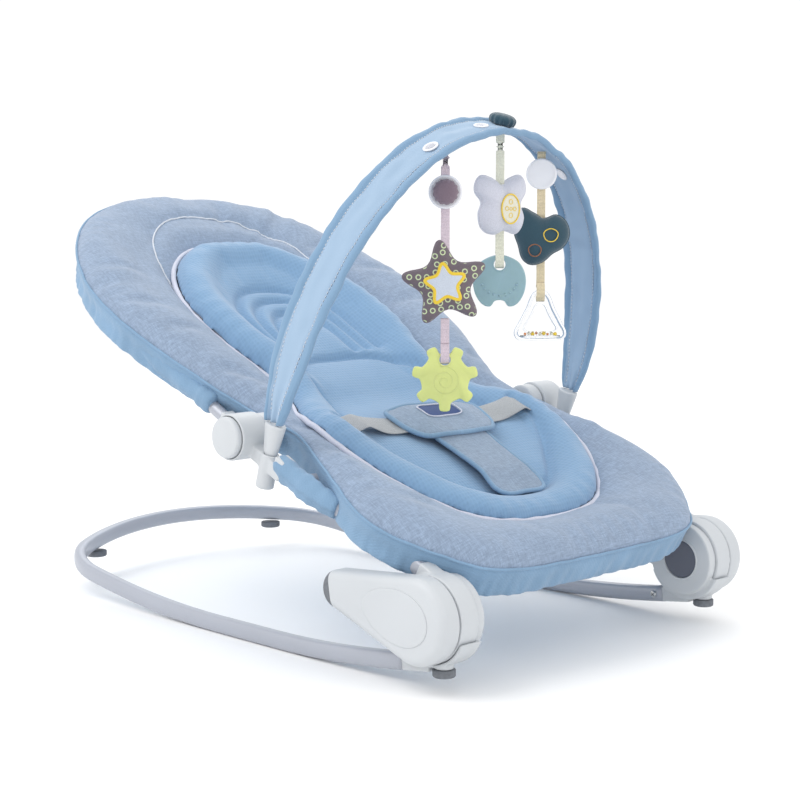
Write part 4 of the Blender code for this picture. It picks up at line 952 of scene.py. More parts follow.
def make_harness():
    def stem_level(points):
        return PAD_LEVEL - 0.0060 * smooth01((-points[:, 1] - 0.165) / 0.04)

    def bar_level(points):
        return PAD_LEVEL + 0.0055 - 0.0060 * smooth01((np.abs(points[:, 0]) - 0.030) / 0.045)

    stem = [(-0.038, -0.075), (-0.039, -0.120), (-0.037, -0.165), (-0.036, -0.206), (0.0, -0.210),
            (0.036, -0.206),
            (0.037, -0.165), (0.039, -0.120), (0.038, -0.075), (0.0, -0.070)]
    pad("crotch_stem_pad", stem, stem_level, 0.0050, PAD_HEATHER, "seat_frame", "heather_fabric",
        ("crotch_pad",),
        PLAIN)
    bar = [(-0.074, -0.050), (-0.072, -0.034), (-0.060, -0.026), (0.0, -0.023), (0.060, -0.026),
           (0.072, -0.034),
           (0.074, -0.050), (0.068, -0.078), (0.052, -0.093), (0.0, -0.096), (-0.052, -0.093),
           (-0.068, -0.078)]
    pad("waist_pad", bar, bar_level, 0.0055, PAD_HEATHER, "seat_frame", "heather_fabric", (), PLAIN)
    badge = [(-0.030, -0.050), (-0.028, -0.038), (0.0, -0.036), (0.028, -0.038), (0.030, -0.050),
             (0.027, -0.062),
             (0.0, -0.064), (-0.027, -0.062)]
    pad("blank_badge", badge, PAD_LEVEL + 0.0125, 0.0014, NAVY, "seat_frame", "heather_fabric", (),
        PIPING, 0.0004)
    for side, word in ((-1, "left"), (1, "right")):
        make_webbing(side, word)
    for word in ("body", "tongue"):
        made = moulded(f"buckle_{word}", 0.0012, BLACK, 2)
        drop = (SEAT.to_3x3() @ Vector((0, -0.012, -0.0215)))
        made.data.transform(Matrix.Translation(drop))
        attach(made, "seat_frame")


def make_webbing(side, word):
    """The waist strap: out of the waist pad, across and up over the reducer's rolled side."""
    rows, half = 26, 0.0185
    co = []
    for i in range(rows):
        t = i / (rows - 1)
        x = side * (0.045 + 0.107 * t)
        lift = PAD_LEVEL + 0.0035 - 0.0060 * math.sin(math.pi * min(t * 1.2, 1))
        lift -= 0.0080 * smooth01((t - 0.82) / 0.18)
        for k in range(5):
            across = (k / 4 - 0.5) * 2 * half
            co.append((x, -0.058 + across + 0.006 * t, lift + 0.0012 * math.sin(t * 9 + k)))
    co = np.array(co)
    co[:, 2] -= dish(co) * 1.12
    world = sling(co)
    faces = [(i * 5 + k, i * 5 + k + 1, (i + 1) * 5 + k + 1, (i + 1) * 5 + k)
             for i in range(rows - 1) for k in range(4)]
    made = build(f"waist_webbing_{word}", world, faces, WEBBING)
    thick = made.modifiers.new("thickness", "SOLIDIFY")
    thick.thickness = 0.0018
    thick.offset = 0
    baked(made)
    subdivide(made)
    fit(made, "seat_frame", "webbing", f"waist_strap_{word}")


# ---------------------------------------------------------------- plastic mouldings and tubes


def moulded(node, voxel, mat, rounds=3, name=None):
    """A CAD node's own shape with its edges softened, as a moulding's are."""
    source = NODES[node]
    mesh = source.data.copy()
    mesh.materials.clear()
    mesh.materials.append(mat)
    for attribute in list(mesh.attributes):
        if attribute.name.startswith("custom_normal"):
            mesh.attributes.remove(attribute)
    shape = bmesh.new()
    shape.from_mesh(mesh)
    bmesh.ops.remove_doubles(shape, verts=shape.verts, dist=1e-6)
    shape.to_mesh(mesh)
    shape.free()
    made = bpy.data.objects.new(name or f"{node}_moulding", mesh)
    scene.collection.objects.link(made)
    change = made.modifiers.new("remesh", "REMESH")
    change.mode = "VOXEL"
    change.voxel_size = voxel
    change.use_smooth_shade = True
    baked(made)
    made.data.materials.clear()
    made.data.materials.append(mat)
    relax(made, rounds, 0.5)
    for face in made.data.polygons:
        face.use_smooth = True
    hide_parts(node)
    return made


def make_mouldings():
    body_of = {"base_knuckle": "base", "seat_knuckle": "seat_frame", "side_bracket": "seat_frame",
               "back_knuckle": "backrest", "arch_clip": "toy_bar"}
    for node, body in body_of.items():
        for word in ("left", "right"):
            made = moulded(f"{node}_{word}", 0.0011, WHITE, 5)
            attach(made, body)


RAIL_X, RAIL_CORNER_RADIUS, RAIL_BOW_RADIUS, RAIL_END_Y = 0.2275, 0.100, 0.350, 0.392
RAIL_FRONT_Y, RAIL_WIDTH, RAIL_HEIGHT = -0.311, 0.016, 0.020
ROCKER_LOW_Y, ROCKER_FLAT, ROCKER_RISE = -0.050, 0.050, 0.33


def rail_low(y):
    past = max(abs(y - ROCKER_LOW_Y) - ROCKER_FLAT, 0.0)
    return ROCKER_RISE * past * past


def arc(centre, radius, start, end, count):
    return [(centre[0] + radius * math.cos(math.radians(start + (end - start) * i / count)),
             centre[1] + radius * math.sin(math.radians(start + (end - start) * i / count)))
            for i in range(count + 1)]


def make_rail():
    bow_centre = RAIL_END_Y - RAIL_BOW_RADIUS
    corner_x = RAIL_X - RAIL_CORNER_RADIUS
    corner_y = bow_centre + math.sqrt((RAIL_BOW_RADIUS - RAIL_CORNER_RADIUS) ** 2 - corner_x ** 2)
    meet = math.degrees(math.atan2(corner_y - bow_centre, corner_x))
    half = [(RAIL_X, RAIL_FRONT_Y + (corner_y - RAIL_FRONT_Y) * i / 60) for i in range(60)]
    half += arc((corner_x, corner_y), RAIL_CORNER_RADIUS, 0, meet, 24)[:-1]
    half += arc((0, bow_centre), RAIL_BOW_RADIUS, meet, 90, 24)
    plan = half + [(-x, y) for x, y in reversed(half[:-1])]
    path = [(x, y, rail_low(y) + RAIL_HEIGHT / 2) for x, y in plan]
    made = sweep("rocker_rail", path, oval(RAIL_WIDTH, RAIL_HEIGHT, 2.9, 32), PAINT)
    fit(made, "base", "painted_steel", "base_rail")


SEAT_TUBE_SPLAY = (-0.210, -0.112)
SEAT_TUBE_FRONT_X, SEAT_TUBE_REAR_X = 0.2235, 0.2500
SEAT_TUBE_ENDS = (-SEAT_RUN - 0.004, -0.0650)


def seat_tube_point(side, s):
    """A point of a side tube's middle line: it splays outwards towards the recline axis."""
    first, last = SEAT_TUBE_SPLAY
    t = min(max((s - first) / (last - first), 0), 1)
    x = SEAT_TUBE_FRONT_X + (SEAT_TUBE_REAR_X - SEAT_TUBE_FRONT_X) * t * t * (3 - 2 * t)
    return SEAT @ Vector((side * x, s, 0))


def make_seat_tubes():
    start, end = SEAT_TUBE_ENDS
    for side, word in ((1, "right"), (-1, "left")):
        path = [seat_tube_point(side, start + (end - start) * i / 60) for i in range(61)]
        made = sweep(f"seat_side_tube_{word}", path, oval(0.014, 0.018, 2.9, 28), PAINT, up=SEAT_UP)
        fit(made, "seat_frame", "painted_steel", f"seat_tube_{word}")
    reach, front_s = 0.060, -SEAT_RUN - 0.008
    end_x = SEAT_TUBE_FRONT_X - 0.007 - 0.0005
    half = [(end_x, -0.215), (end_x - 0.012, -0.215), (0.190, -0.225), (0.180, -0.243)]
    half += arc((0.180 - reach, front_s + reach), reach, 0, -90, 6)
    half = [tuple(p) for p in hermite(half, 5, False)]
    path = [SEAT @ Vector((x, s, 0.002)) for x, s in half + [(-x, s) for x, s in reversed(half)]]
    made = sweep("foot_loop_tube", path, oval(0.014, 0.014, 2.0, 20), PAINT, up=SEAT_UP)
    fit(made, "seat_frame", "painted_steel", "front_loop_tube")
    low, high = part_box("seat_cross_tube")
    middle = (low + high) / 2
    made = lathe("cross_tube", (low.x, middle.y, middle.z), (1, 0, 0),
                 rounded_profile(0.008, 0, high.x - low.x, 0.001, 0.001, 2), PAINT, 28)
    fit(made, "seat_frame", "painted_steel", "seat_cross_tube")


def make_back_tube():
    start_x = 0.22825
    half = [(start_x, 0.036), (start_x, 0.062), (0.231, 0.110), (0.238, 0.165), (0.246, 0.220),
            (0.250, 0.275),
            (0.245, 0.325), (0.231, 0.370), (0.210, 0.410), (0.181, 0.447), (0.144, 0.479), (0.098, 0.503),
            (0.050, 0.515), (0.0, 0.518)]
    half = [tuple(p) for p in hermite(half, 5, False)]
    path = [BACK @ Vector((x, s, -0.020)) for x, s in half + [(-x, s) for x, s in reversed(half[:-1])]]
    made = sweep("back_tube", path, oval(0.015, 0.015, 2.0, 24), PAINT, up=SEAT_UP)
    fit(made, "backrest", "painted_steel", "back_loop_tube")


def make_sleeve(name, path, wide, high, body, mat):
    """Cloth gathered round a tube by its elastic."""
    rings, flats = [], []
    run = 0.0
    for i, p in enumerate(path):
        before, after = path[max(i - 1, 0)], path[min(i + 1, len(path) - 1)]
        along = (after - before).normalized()
        run += (p - path[i - 1]).length if i else 0.0
        side = along.cross(SEAT_UP).normalized()
        up = side.cross(along).normalized()
        share = i / (len(path) - 1)
        gather = 0.05 * math.sin(run * 420) + 0.05 * math.sin(run * 151)
        full = 0.80 + 0.20 * min(share, 1 - share, 0.12) / 0.12 + gather
        ring = []
        for k in range(28):
            a = 2 * math.pi * k / 28
            puff = full * (1 + 0.04 * math.sin(a * 5 + run * 90) + 0.03 * math.sin(a * 3 - run * 60))
            ring.append(p + (side * math.cos(a) * wide + up * math.sin(a) * high) * puff)
            flats.append((a * wide, run, 0.0))
        rings.append(ring)
    verts, faces = loft(rings)
    made = build(name, verts, faces, mat)
    store_flat(made, np.array(flats))
    fit(made, body, "plain_fabric")


def make_sleeves():
    for side, word in ((-1, "left"), (1, "right")):
        line = hermite([(0.2290, 0.085), (0.2310, 0.110), (0.2380, 0.165), (0.2460, 0.220)], 10, False)
        make_sleeve(f"back_sleeve_{word}", [BACK @ Vector((side * x, s, -0.0165)) for x, s in line],
                    0.0125, 0.0150, "backrest", PLAIN)
        path = [seat_tube_point(side, -0.062 - 0.094 * i / 21) for i in range(22)]
        make_sleeve(f"seat_sleeve_{word}", path, 0.0115, 0.0145, "seat_frame", PLAIN)


LEG_HUB_RADIUS, LEG_TIP_RADIUS, LEG_LENGTH, LEG_ANGLE = 0.0465, 0.0210, 0.118, math.radians(7.8)
LEG_IN_X, LEG_OUT_X, LEG_SPLIT = 0.2380, 0.2640, 0.124


def leg_ring(inset, count=64):
    """The leg's outline drawn in by inset: two circles and the lines that touch both."""
    lean = math.degrees(math.acos((LEG_HUB_RADIUS - LEG_TIP_RADIUS) / LEG_LENGTH))
    hub = arc((0, 0), LEG_HUB_RADIUS - inset, lean, 360 - lean, count)
    tip = arc((LEG_LENGTH, 0), max(LEG_TIP_RADIUS - inset, 0.0005), -lean, lean, count // 2)
    return hub + tip


def leg_place(side, a, b, x):
    c, s = math.cos(LEG_ANGLE), math.sin(LEG_ANGLE)
    return Vector((side * x, HUB.y + a * c - b * s, HUB.z + a * s + b * c))


def make_leg(side, word):
    inner, outer = 0.003, 0.0105
    rings = []
    for inset, x in ([(inner * (1 - math.sin(t)), LEG_IN_X + inner * (1 - math.cos(t))) for t in
                      np.linspace(0, math.pi / 2, 5)]
                     + [(outer * (1 - math.cos(t)), LEG_OUT_X - outer * (1 - math.sin(t)) * 0.9)
                        for t in np.linspace(0, math.pi / 2, 11)] + [(0.0125, LEG_OUT_X + 0.0001)]):
        rings.append((inset, x))
    # the cut between body and grip leans, as the rubber's edge does
    cut = leg_place(side, LEG_SPLIT, 0, 0)
    lean = (leg_place(1, 1.0, -0.30, 0) - leg_place(1, 0, 0, 0)).normalized()
    verts, faces = loft([[leg_place(side, a, b, x) for a, b in leg_ring(inset)] for inset, x in rings])
    for name, keep, mat, slot, node in (
            (f"leg_body_{word}", -1, WHITE, "white_plastic", f"leg_shell_{word}"),
            (f"leg_grip_{word}", 1, RUBBER, "grey_rubber", f"leg_tip_{word}")):
        piece = build(name, verts, faces, mat, weld=True)
        shape = bmesh.new()
        shape.from_mesh(piece.data)
        found = bmesh.ops.bisect_plane(shape, geom=shape.verts[:] + shape.edges[:] + shape.faces[:],
                                       plane_co=cut + keep * 0.0002 * lean, plane_no=lean,
                                       clear_inner=keep > 0, clear_outer=keep < 0)
        bmesh.ops.holes_fill(shape,
                             edges=[e for e in found["geom_cut"] if isinstance(e, bmesh.types.BMEdge)])
        bmesh.ops.recalc_face_normals(shape, faces=shape.faces)
        shape.to_mesh(piece.data)
        shape.free()
        fit(piece, f"leg_{word}", slot, node)
        bevelled = piece.modifiers.new("soft_edge", "BEVEL")
        bevelled.width = 0.0006
        bevelled.segments = 2
        bevelled.limit_method = "ANGLE"
        bevelled.angle_limit = math.radians(50)
    # the egg-shaped panel on the outer face
    count, panel = 72, []
    for inset, lift in ((0.0, 0.0), (0.0002, 0.0005), (0.0010, 0.0008), (0.0030, 0.0009)):
        ring = []
        for i in range(count):
            a = 2 * math.pi * i / count
            wide = 0.0290 - 0.0040 * math.cos(a) - inset
            ring.append(leg_place(side, 0.024 + (0.0480 - inset) * math.cos(a), wide * math.sin(a),
                                  LEG_OUT_X + 0.0001 + lift))
        panel.append(ring)
    verts, faces = loft(panel)
    piece = build(f"leg_panel_{word}", verts, faces, WHITE)
    fit(piece, f"leg_{word}", "white_plastic")


def dome(name, origin, axis, radius, low, high, mat, body, slot, edge=0.004, crown=0.0, replaced=(),
         steps=72):
    """A round cap whose face is slightly crowned."""
    profile = [(1e-4, low), (radius - 0.0006, low), (radius, low + 0.0006)]
    for i in range(7):
        a = math.pi / 2 * i / 6
        profile.append((radius - edge * (1 - math.cos(a)), high - crown - edge * (1 - math.sin(a))))
    for t in (0.75, 0.5, 0.25, 0.0):
        profile.append((max((radius - edge) * t, 1e-4), high - crown * t * t))
    made = lathe(name, origin, axis, profile, mat, steps)
    fit(made, body, slot)
    if replaced:
        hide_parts(*replaced)
    return made


def make_round_parts():
    for side, word in ((1, "right"), (-1, "left")):
        inner = Vector((side * 0.1985, HUB.y, HUB.z))
        outwards = Vector((side, 0, 0))
        dome(f"fold_button_cap_{word}", inner, -outwards, 0.0225, -0.0024, 0.0004, BUTTON_DARK,
             f"fold_button_{word}", "dark_plastic", 0.0008, 0.0003, (f"fold_button_{word}",))
        ring = lathe(f"fold_button_ring_{word}", inner, -outwards,
                     [(0.0231, -0.0010), (0.0231, 0.0006), (0.0237, 0.0011), (0.0247, 0.0011),
                      (0.0253, 0.0002),
                      (0.0253, -0.0010)], WHITE, 72)
        fit(ring, "base", "white_plastic")
        dome(f"recline_cap_{word}", Vector((side * 0.2745, RECLINE.y, RECLINE.z)), outwards, 0.0235, 0.0,
             0.0100,
             WHITE, f"recline_button_{word}", "white_plastic", 0.0035, 0.0022, (f"recline_button_{word}",))
        for end, radius, edge in (("front", 0.0122, 0.0020), ("rear", 0.0138, 0.0025)):
            node = f"{end}_foot_{word}"
            low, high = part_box(node)
            middle = (low + high) / 2
            dome(f"{end}_pad_{word}", (middle.x, middle.y, high.z), (0, 0, -1), radius, 0.0,
                 high.z - low.z, RUBBER, "base", "grey_rubber", edge, 0.0004, (node,), 48)
        make_screw(side, word)


def make_screw(side, word):
    low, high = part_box(f"rail_screw_{word}")
    middle = (low + high) / 2
    face = Vector((low.x if side > 0 else high.x, middle.y, middle.z))
    out = Vector((-side, 0, 0))
    head = lathe(f"rail_screw_head_{word}", face + out * 0.0006, out,
                 [(0.0042, -0.0018), (0.0044, -0.0009), (0.0040, -0.0002), (0.0028, 0.0003),
                  (1e-4, 0.0005)], STEEL, 40)
    for i in range(2):
        # painted shade: the cross slot is black bars laid on the steel head, standing for the shade inside
        # its recess
        cross = box_mesh(f"screw_slot_shade_{word}_{i}", (0.0010, 0.0052, 0.0008), BLACK)
        turn = Matrix.Rotation(math.pi / 4 + i * math.pi / 2, 4, "X")
        cross.data.transform(Matrix.Translation(face + out * 0.0009) @ turn)
        fit(cross, "base", "bright_steel")
    fit(head, "base", "bright_steel", f"rail_screw_{word}")


def box_mesh(name, size, mat, rounding=0.0003):
    shape = bmesh.new()
    bmesh.ops.create_cube(shape, size=1.0, matrix=Matrix.Diagonal((*size, 1)))
    bmesh.ops.bevel(shape, geom=shape.edges[:], offset=min(rounding, min(size) * 0.3), segments=2,
                    affect="EDGES")
    mesh = bpy.data.meshes.new(name)
    shape.to_mesh(mesh)
    shape.free()
    mesh.materials.append(mat)
    made = bpy.data.objects.new(name, mesh)
    scene.collection.objects.link(made)
    return made


def keep_cad():
    """CAD nodes shown as they are, with finished materials and softened edges."""
    for node in NODES:
        if NODES[node].hide_render:
            continue
        mat = {"hub_bolt": STEEL, "recline_pin": STEEL, "recline_spring": STEEL}.get(
            node.rsplit("_", 1)[0], WHITE)
        NODES[node].data.materials.clear()
        NODES[node].data.materials.append(mat)
        for face in NODES[node].data.polygons:
            face.use_smooth = True
        soft = NODES[node].modifiers.new("weld", "WELD")
        soft.merge_threshold = 1e-6
        edge = NODES[node].modifiers.new("sharp", "EDGE_SPLIT")
        edge.split_angle = math.radians(35)


# ---------------------------------------------------------------- toy bar

SPLAY = (-0.1222 - RECLINE.y) / math.cos(SEAT_SLOPE)
MOUTH = Vector((0.2520, -0.1222, RECLINE.z + SPLAY * math.sin(SEAT_SLOPE) + 0.0025 + 0.0024))
ARCH_MIDDLE = Vector((0, (MOUTH + 0.036 * BAR_UP).y, (MOUTH + 0.036 * BAR_UP).z))
BAND_HALF, BAND_END_HALF, BAND_TAPER, BAND_THICK = 0.031, 0.0120, 0.055, 0.005


def arch_point(angle, out=0.0, across=0.0):
    x = ARCH_HALF_WIDTH * math.cos(angle)
    rise = ARCH_RISE * math.sin(angle)
    normal = Vector((math.cos(angle) / ARCH_HALF_WIDTH, math.sin(angle) / ARCH_RISE)).normalized()
    flat = Vector((x, rise)) + out * normal
    return ARCH_MIDDLE + Vector((flat.x, 0, 0)) + flat.y * BAR_UP + across * BAR_OUT


def band_half(angle):
    rise = ARCH_RISE * math.sin(angle)
    return BAND_HALF - (BAND_HALF - BAND_END_HALF) * math.exp(-rise / BAND_TAPER)


def bar_angle(x):
    return math.acos(x / ARCH_HALF_WIDTH)


def band_profile(t, half):
    """Half thickness of the band at a share t of its half width: a flat panel and two padded borders."""
    border = min(0.0105, half * 0.42)
    gap = half * (1 - abs(t))
    if gap < border:
        return 0.0004 + 0.0036 * math.sqrt(max(1 - ((gap - border / 2) / (border / 2)) ** 2, 0)) ** 0.8
    inner = min((gap - border) / 0.004, 1.0)
    return 0.0006 + 0.0014 * inner


def band_wrinkle(run, t, angle):
    """How far the cloth stands off the arch: soft waves along it, and gathers at its low ends."""
    gather = 0.0016 * math.exp(-ARCH_RISE * math.sin(angle) / 0.05) * math.sin(t * 9)
    return (noise.noise(Vector((run * 26, t * 2.2, 4.0))) * 0.0024
            + noise.noise(Vector((run * 70, t * 1.2, 8.0))) * 0.0012 + gather)


def make_band():
    across = [-1 + 2 * k / 34 for k in range(35)]
    steps = 220
    start = 0.004
    rings, flats = [], []
    for i in range(steps + 1):
        angle = start + (math.pi - 2 * start) * i / steps
        half = band_half(angle)
        run = i / steps * 0.93
        top, low = [], []
        for t in across:
            thick = band_profile(t, half)
            wrinkle = band_wrinkle(run, t, angle)
            near_edge = float(smooth01((abs(t) - 0.6) / 0.4))
            edge = 1.0 - 0.016 * math.sin(run * 190 + (3 if t > 0 else 0)) * near_edge
            top.append((arch_point(angle, thick + wrinkle, t * half * edge), (t * half, run, thick)))
            low.append((arch_point(angle, -thick + wrinkle, t * half * edge), (t * half, run, -thick)))
        ring = top + low[::-1][1:-1]
        rings.append([p for p, _ in ring])
        flats += [f for _, f in ring]
    verts, faces = loft(rings)
    made = build("bar_band", verts, faces, BAR_BLUE)
    store_flat(made, np.array(flats))
    made.data.materials.append(PLAIN)
    n = len(rings[0])
    count = len(across)
    for face in made.data.polygons:
        cols = [i % n for i in face.vertices]
        shares = [across[c] if c < count else across[::-1][c - count + 1] for c in cols]
        if len(face.vertices) == 4 and min(abs(v) for v in shares) > 0.64:
            face.material_index = 1
    for i, (x, _) in enumerate(EYELETS):
        cutter = eyelet_cutter(x, i)
        change = made.modifiers.new(f"eyelet_{i}", "BOOLEAN")
        change.operation = "DIFFERENCE"
        change.object = cutter
    bpy.context.view_layer.update()
    baked(made)
    for i in range(len(EYELETS)):
        bpy.data.objects.remove(bpy.data.objects[f"eyelet_cutter_{i}"], do_unlink=True)
    for face in made.data.polygons:
        face.use_smooth = True
    fit(made, "toy_bar", "plain_fabric", "arch_band")
    for i, (x, _) in enumerate(EYELETS):
        make_eyelet(x, i)
    make_stitches()


EYELETS = ((-0.101, 0.302), (-0.027, 0.3305), (0.134, 0.303))
EYELET_ACROSS = -0.006


def eyelet_frame(x, across=EYELET_ACROSS):
    angle = bar_angle(x)
    out = (arch_point(angle, 1.0) - arch_point(angle)).normalized()
    side = BAR_OUT
    along = out.cross(side).normalized()
    place = Matrix((along, side, out)).transposed().to_4x4()
    return Matrix.Translation(arch_point(angle, 0.0, across)) @ place


def oval_ring(place, wide, high, at, count=40):
    return [place @ Vector((wide * math.cos(2 * math.pi * i / count),
                            high * math.sin(2 * math.pi * i / count), at))
            for i in range(count)]


def eyelet_cutter(x, i):
    place = eyelet_frame(x)
    verts, faces = loft([oval_ring(place, 0.0080, 0.0055, -0.012), oval_ring(place, 0.0080, 0.0055, 0.012)])
    made = build(f"eyelet_cutter_{i}", verts, faces, WHITE)
    made.hide_render = True
    return made


def make_eyelet(x, i):
    place = eyelet_frame(x)
    rings = []
    for grow, at in ((0.0, -0.0030), (0.0008, -0.0040), (0.0026, -0.0038), (0.0032, -0.0028),
                     (0.0010, -0.0018),
                     (0.0010, 0.0018), (0.0032, 0.0028), (0.0026, 0.0038), (0.0008, 0.0040), (0.0, 0.0030)):
        rings.append(oval_ring(place, 0.0072 + grow, 0.0047 + grow, at))
    rings.append(rings[0])
    verts, faces = loft(rings, caps=False)
    made = build(f"bar_eyelet_{i}", verts, faces, RING_WHITE, weld=True)
    fit(made, "toy_bar", "white_ring")


def make_stitches():
    """Rows of thread along the inner edge of both borders, on the outer and inner faces."""
    verts, faces = [], []
    for side in (-1, 1):
        for face_side in (-1, 1):
            for i in range(210):
                angle = 0.03 + (math.pi - 0.06) * i / 210
                half = band_half(angle)
                border = min(0.0105, half * 0.42) + 0.0014
                across = side * (half - border)
                if half - border < 0.002:
                    continue
                run = (angle - 0.004) / (math.pi - 0.008) * 0.93
                t = across / half
                level = face_side * (band_profile(t, half) + 0.0002) + band_wrinkle(run, t, angle)
                base = len(verts)
                for da, dw, dh in ((-0.0045, -0.0006, 0), (0.0045, -0.0006, 0), (0.0045, 0.0006, 0),
                                   (-0.0045, 0.0006, 0),
                                   (-0.003, 0, 0.0009), (0.003, 0, 0.0009)):
                    verts.append(arch_point(angle + da, level + face_side * dh, across + dw))
                faces += [(base + a, base + b, base + c, base + d) for a, b, c, d in
                          ((0, 1, 5, 4), (3, 4, 5, 2))]
                faces += [(base, base + 4, base + 3), (base + 1, base + 2, base + 5)]
                faces.append((base + 3, base + 2, base + 1, base))
    made = build("bar_stitching", verts, faces, THREAD)
    fit(made, "toy_bar", "plain_fabric")


# ---------------------------------------------------------------- toys


def hanging(point):
    face = Matrix.Rotation(TOY_YAW, 4, "Z") @ Matrix.Rotation(math.pi / 2, 4, "X")
    return Matrix.Translation(point) @ face


def anchor_of(key):
    return arch_point(bar_angle(TOY_X[key]), -BAND_THICK / 2) - Vector((0, 0, 0.0048))


def stuffed(name, outline, half, place, mat, body, slot, replaced=(), power=2.6, steps=12, seam=None,
            turn=0.0,
            inner=0.0):
    """A stuffed shape: its outline drawn in towards the middle as it rises."""
    place = place @ Matrix.Rotation(turn, 4, "Z")
    rings, flats = [], []
    levels = [math.sin(math.pi / 2 * k / steps) for k in range(steps + 1)]
    shares = [(f, -1) for f in levels[:-1]] + [(1.0, 0)] + [(f, 1) for f in levels[:-1][::-1]]
    for share, sign in shares:
        share = max(share, 0.02)
        z = sign * half * (1 - share ** power) ** 0.5
        dent = 1 - inner * math.exp(-(share / 0.4) ** 2)
        ring = [Vector((x * share, y * share, z * dent)) for x, y in outline]
        rings.append([place @ p for p in ring])
        flats += [tuple(p) for p in ring]
    verts, faces = loft(rings)
    made = build(name, verts, faces, mat)
    store_flat(made, np.array(flats))
    fit(made, body, slot)
    if replaced:
        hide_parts(*replaced)
    if seam:
        line = [place @ Vector((x * 1.005, y * 1.005, 0)) for x, y in outline]
        cord = sweep(f"{name}_seam", line, oval(0.0014, 0.0014, 2, 8), seam,
                     up=(place.to_3x3() @ Vector((0, 0, 1))),
                     closed=True)
        store_flat(cord)
        fit(cord, body, slot)
    return made


def toy_outline(points, steps=6):
    return [(p[0], p[1]) for p in hermite(points, steps)]


def strap_between(name, anchor, top, low, mat, body, width=0.010, loop=None, offset=0.0):
    """A ribbon from height top to height low below an anchor, with a loop at its end."""
    frame_ = hanging(anchor)
    path = [Vector((0, y, offset + 0.0005 * math.sin(y * 300))) for y in np.linspace(top, low, 14)]
    if loop:
        y0, gap = low, loop
        path = path[:-1]
        for i in range(13):
            a = math.pi * 2 * i / 12
            path.append(Vector((0, y0 - 0.011 + 0.011 * math.cos(a), -gap * math.sin(a))))
    section = oval(width, 0.0012, 6.0, 16)
    pts = [frame_ @ p for p in path]
    ups = []
    normal = frame_.to_3x3() @ Vector((0, 0, 1))
    across = frame_.to_3x3() @ Vector((1, 0, 0))
    for i in range(len(pts)):
        before, after = pts[max(i - 1, 0)], pts[min(i + 1, len(pts) - 1)]
        along = (after - before).normalized()
        ups.append(across.cross(along).normalized() if abs(along.dot(normal)) > 1e-3 else normal)
    made = sweep(name, pts, section, mat, up=ups)
    fit(made, body, "webbing")
    return made


def ring_curve(name, place, radius, wire, mat, body, slot, squash_=1.0, centre=(0, 0), at=0.0, count=40,
               wob=0.0):
    line = [place @ Vector((centre[0] + radius * math.cos(2 * math.pi * i / count)
                            * (1 + wob * math.sin(2 * math.pi * i * 3 / count)),
                            centre[1] + radius * squash_ * math.sin(2 * math.pi * i / count), at))
            for i in range(count)]
    made = sweep(name, line, oval(wire, wire, 2, 8), mat, up=(place.to_3x3() @ Vector((0, 0, 1))),
                 closed=True)
    store_flat(made)
    fit(made, body, slot)
    return made


def gathered_pod(name, origin, axis, radius, height, mat, body, slot, replaced):
    """A small cloth pod, pleated towards its base."""
    profile = [(1e-4, 0.0)]
    for i in range(15):
        a = math.pi * i / 14 * 0.5
        full = (0.80 + 0.20 * math.sin(a * 2)) * math.cos(a) ** 0.45 if i else 0.80
        profile.append((radius * full, height * math.sin(a)))
    profile[-1] = (1e-4, height)

    def pleats(a, r, along):
        return 1 + 0.05 * math.sin(a * 13) * (1 - along / height) ** 0.6

    made = lathe(name, origin, axis, profile, mat, 104, pleats, True)
    fit(made, body, slot, *replaced)
    return made


def star_points(outer, inner, points=5, turn=90.0):
    made = []
    for i in range(points * 2):
        angle = math.radians(turn + 180 * i / points)
        radius, spread = (outer, 0.11) if i % 2 == 0 else (inner, 0.20)
        for d, grow in ((-spread, 0.93), (0, 1.0), (spread, 0.93)) if i % 2 == 0 else ((0, 1.0),):
            made.append((radius * grow * math.cos(angle + d), radius * grow * math.sin(angle + d)))
    return made


def make_near_toys():
    anchor = anchor_of("near")
    body = "near_toy"
    out = hanging(anchor).to_3x3() @ Vector((0, 0, 1))
    ring_place = hanging(anchor - Vector((0, 0, 0.054)))
    base = ring_place @ Vector((0, 0, 0.0009))
    disc = lathe("near_ring_disc", base, out,
                 [(0.0030, 0.0), (0.0175, 0.0), (0.0188, 0.0008), (0.0190, 0.0018), (0.0184, 0.0030),
                  (0.0168, 0.0034),
                  (0.0155, 0.0026), (0.0030, 0.0024)], RING_WHITE, 72)
    fit(disc, body, "white_ring", "near_toy_ring")
    gathered_pod("near_pod_cloth", base + out * 0.0026, out, 0.0158, 0.0125, PURPLE, body, "purple_fabric",
                 ("near_toy_pod",))
    strap_between("near_upper_ribbon", anchor, 0.004, -0.125, PINK, body)
    centre = anchor - Vector((0, 0, 0.157))
    place = hanging(centre)
    star = toy_outline(star_points(0.0490, 0.0285), 5)
    stuffed("star_cloth", star, 0.0125, place, STAR, body, "star_fabric", ("star_plush",), 2.4,
            turn=math.radians(8), seam=PURPLE)
    face = place @ Matrix.Rotation(math.radians(8), 4, "Z")
    small = toy_outline(star_points(0.0225, 0.0135), 5)
    stuffed("star_patch", small, 0.0012, face @ Matrix.Translation((0, 0, 0.0121)), PALE_PATCH, body,
            "star_fabric", power=6.0, steps=5)
    line = [face @ Vector((x * 1.03, y * 1.03, 0.0123)) for x, y in small]
    trim = sweep("star_patch_trim", line, oval(0.0042, 0.0022, 2, 10), YELLOW, up=out, closed=True)
    store_flat(trim)
    fit(trim, body, "star_fabric")
    hole = anchor - Vector((0, 0, 0.243))
    strap_between("near_lower_ribbon", anchor, -0.196, -0.225, PINK, body, loop=0.0052)
    make_gear(hole)


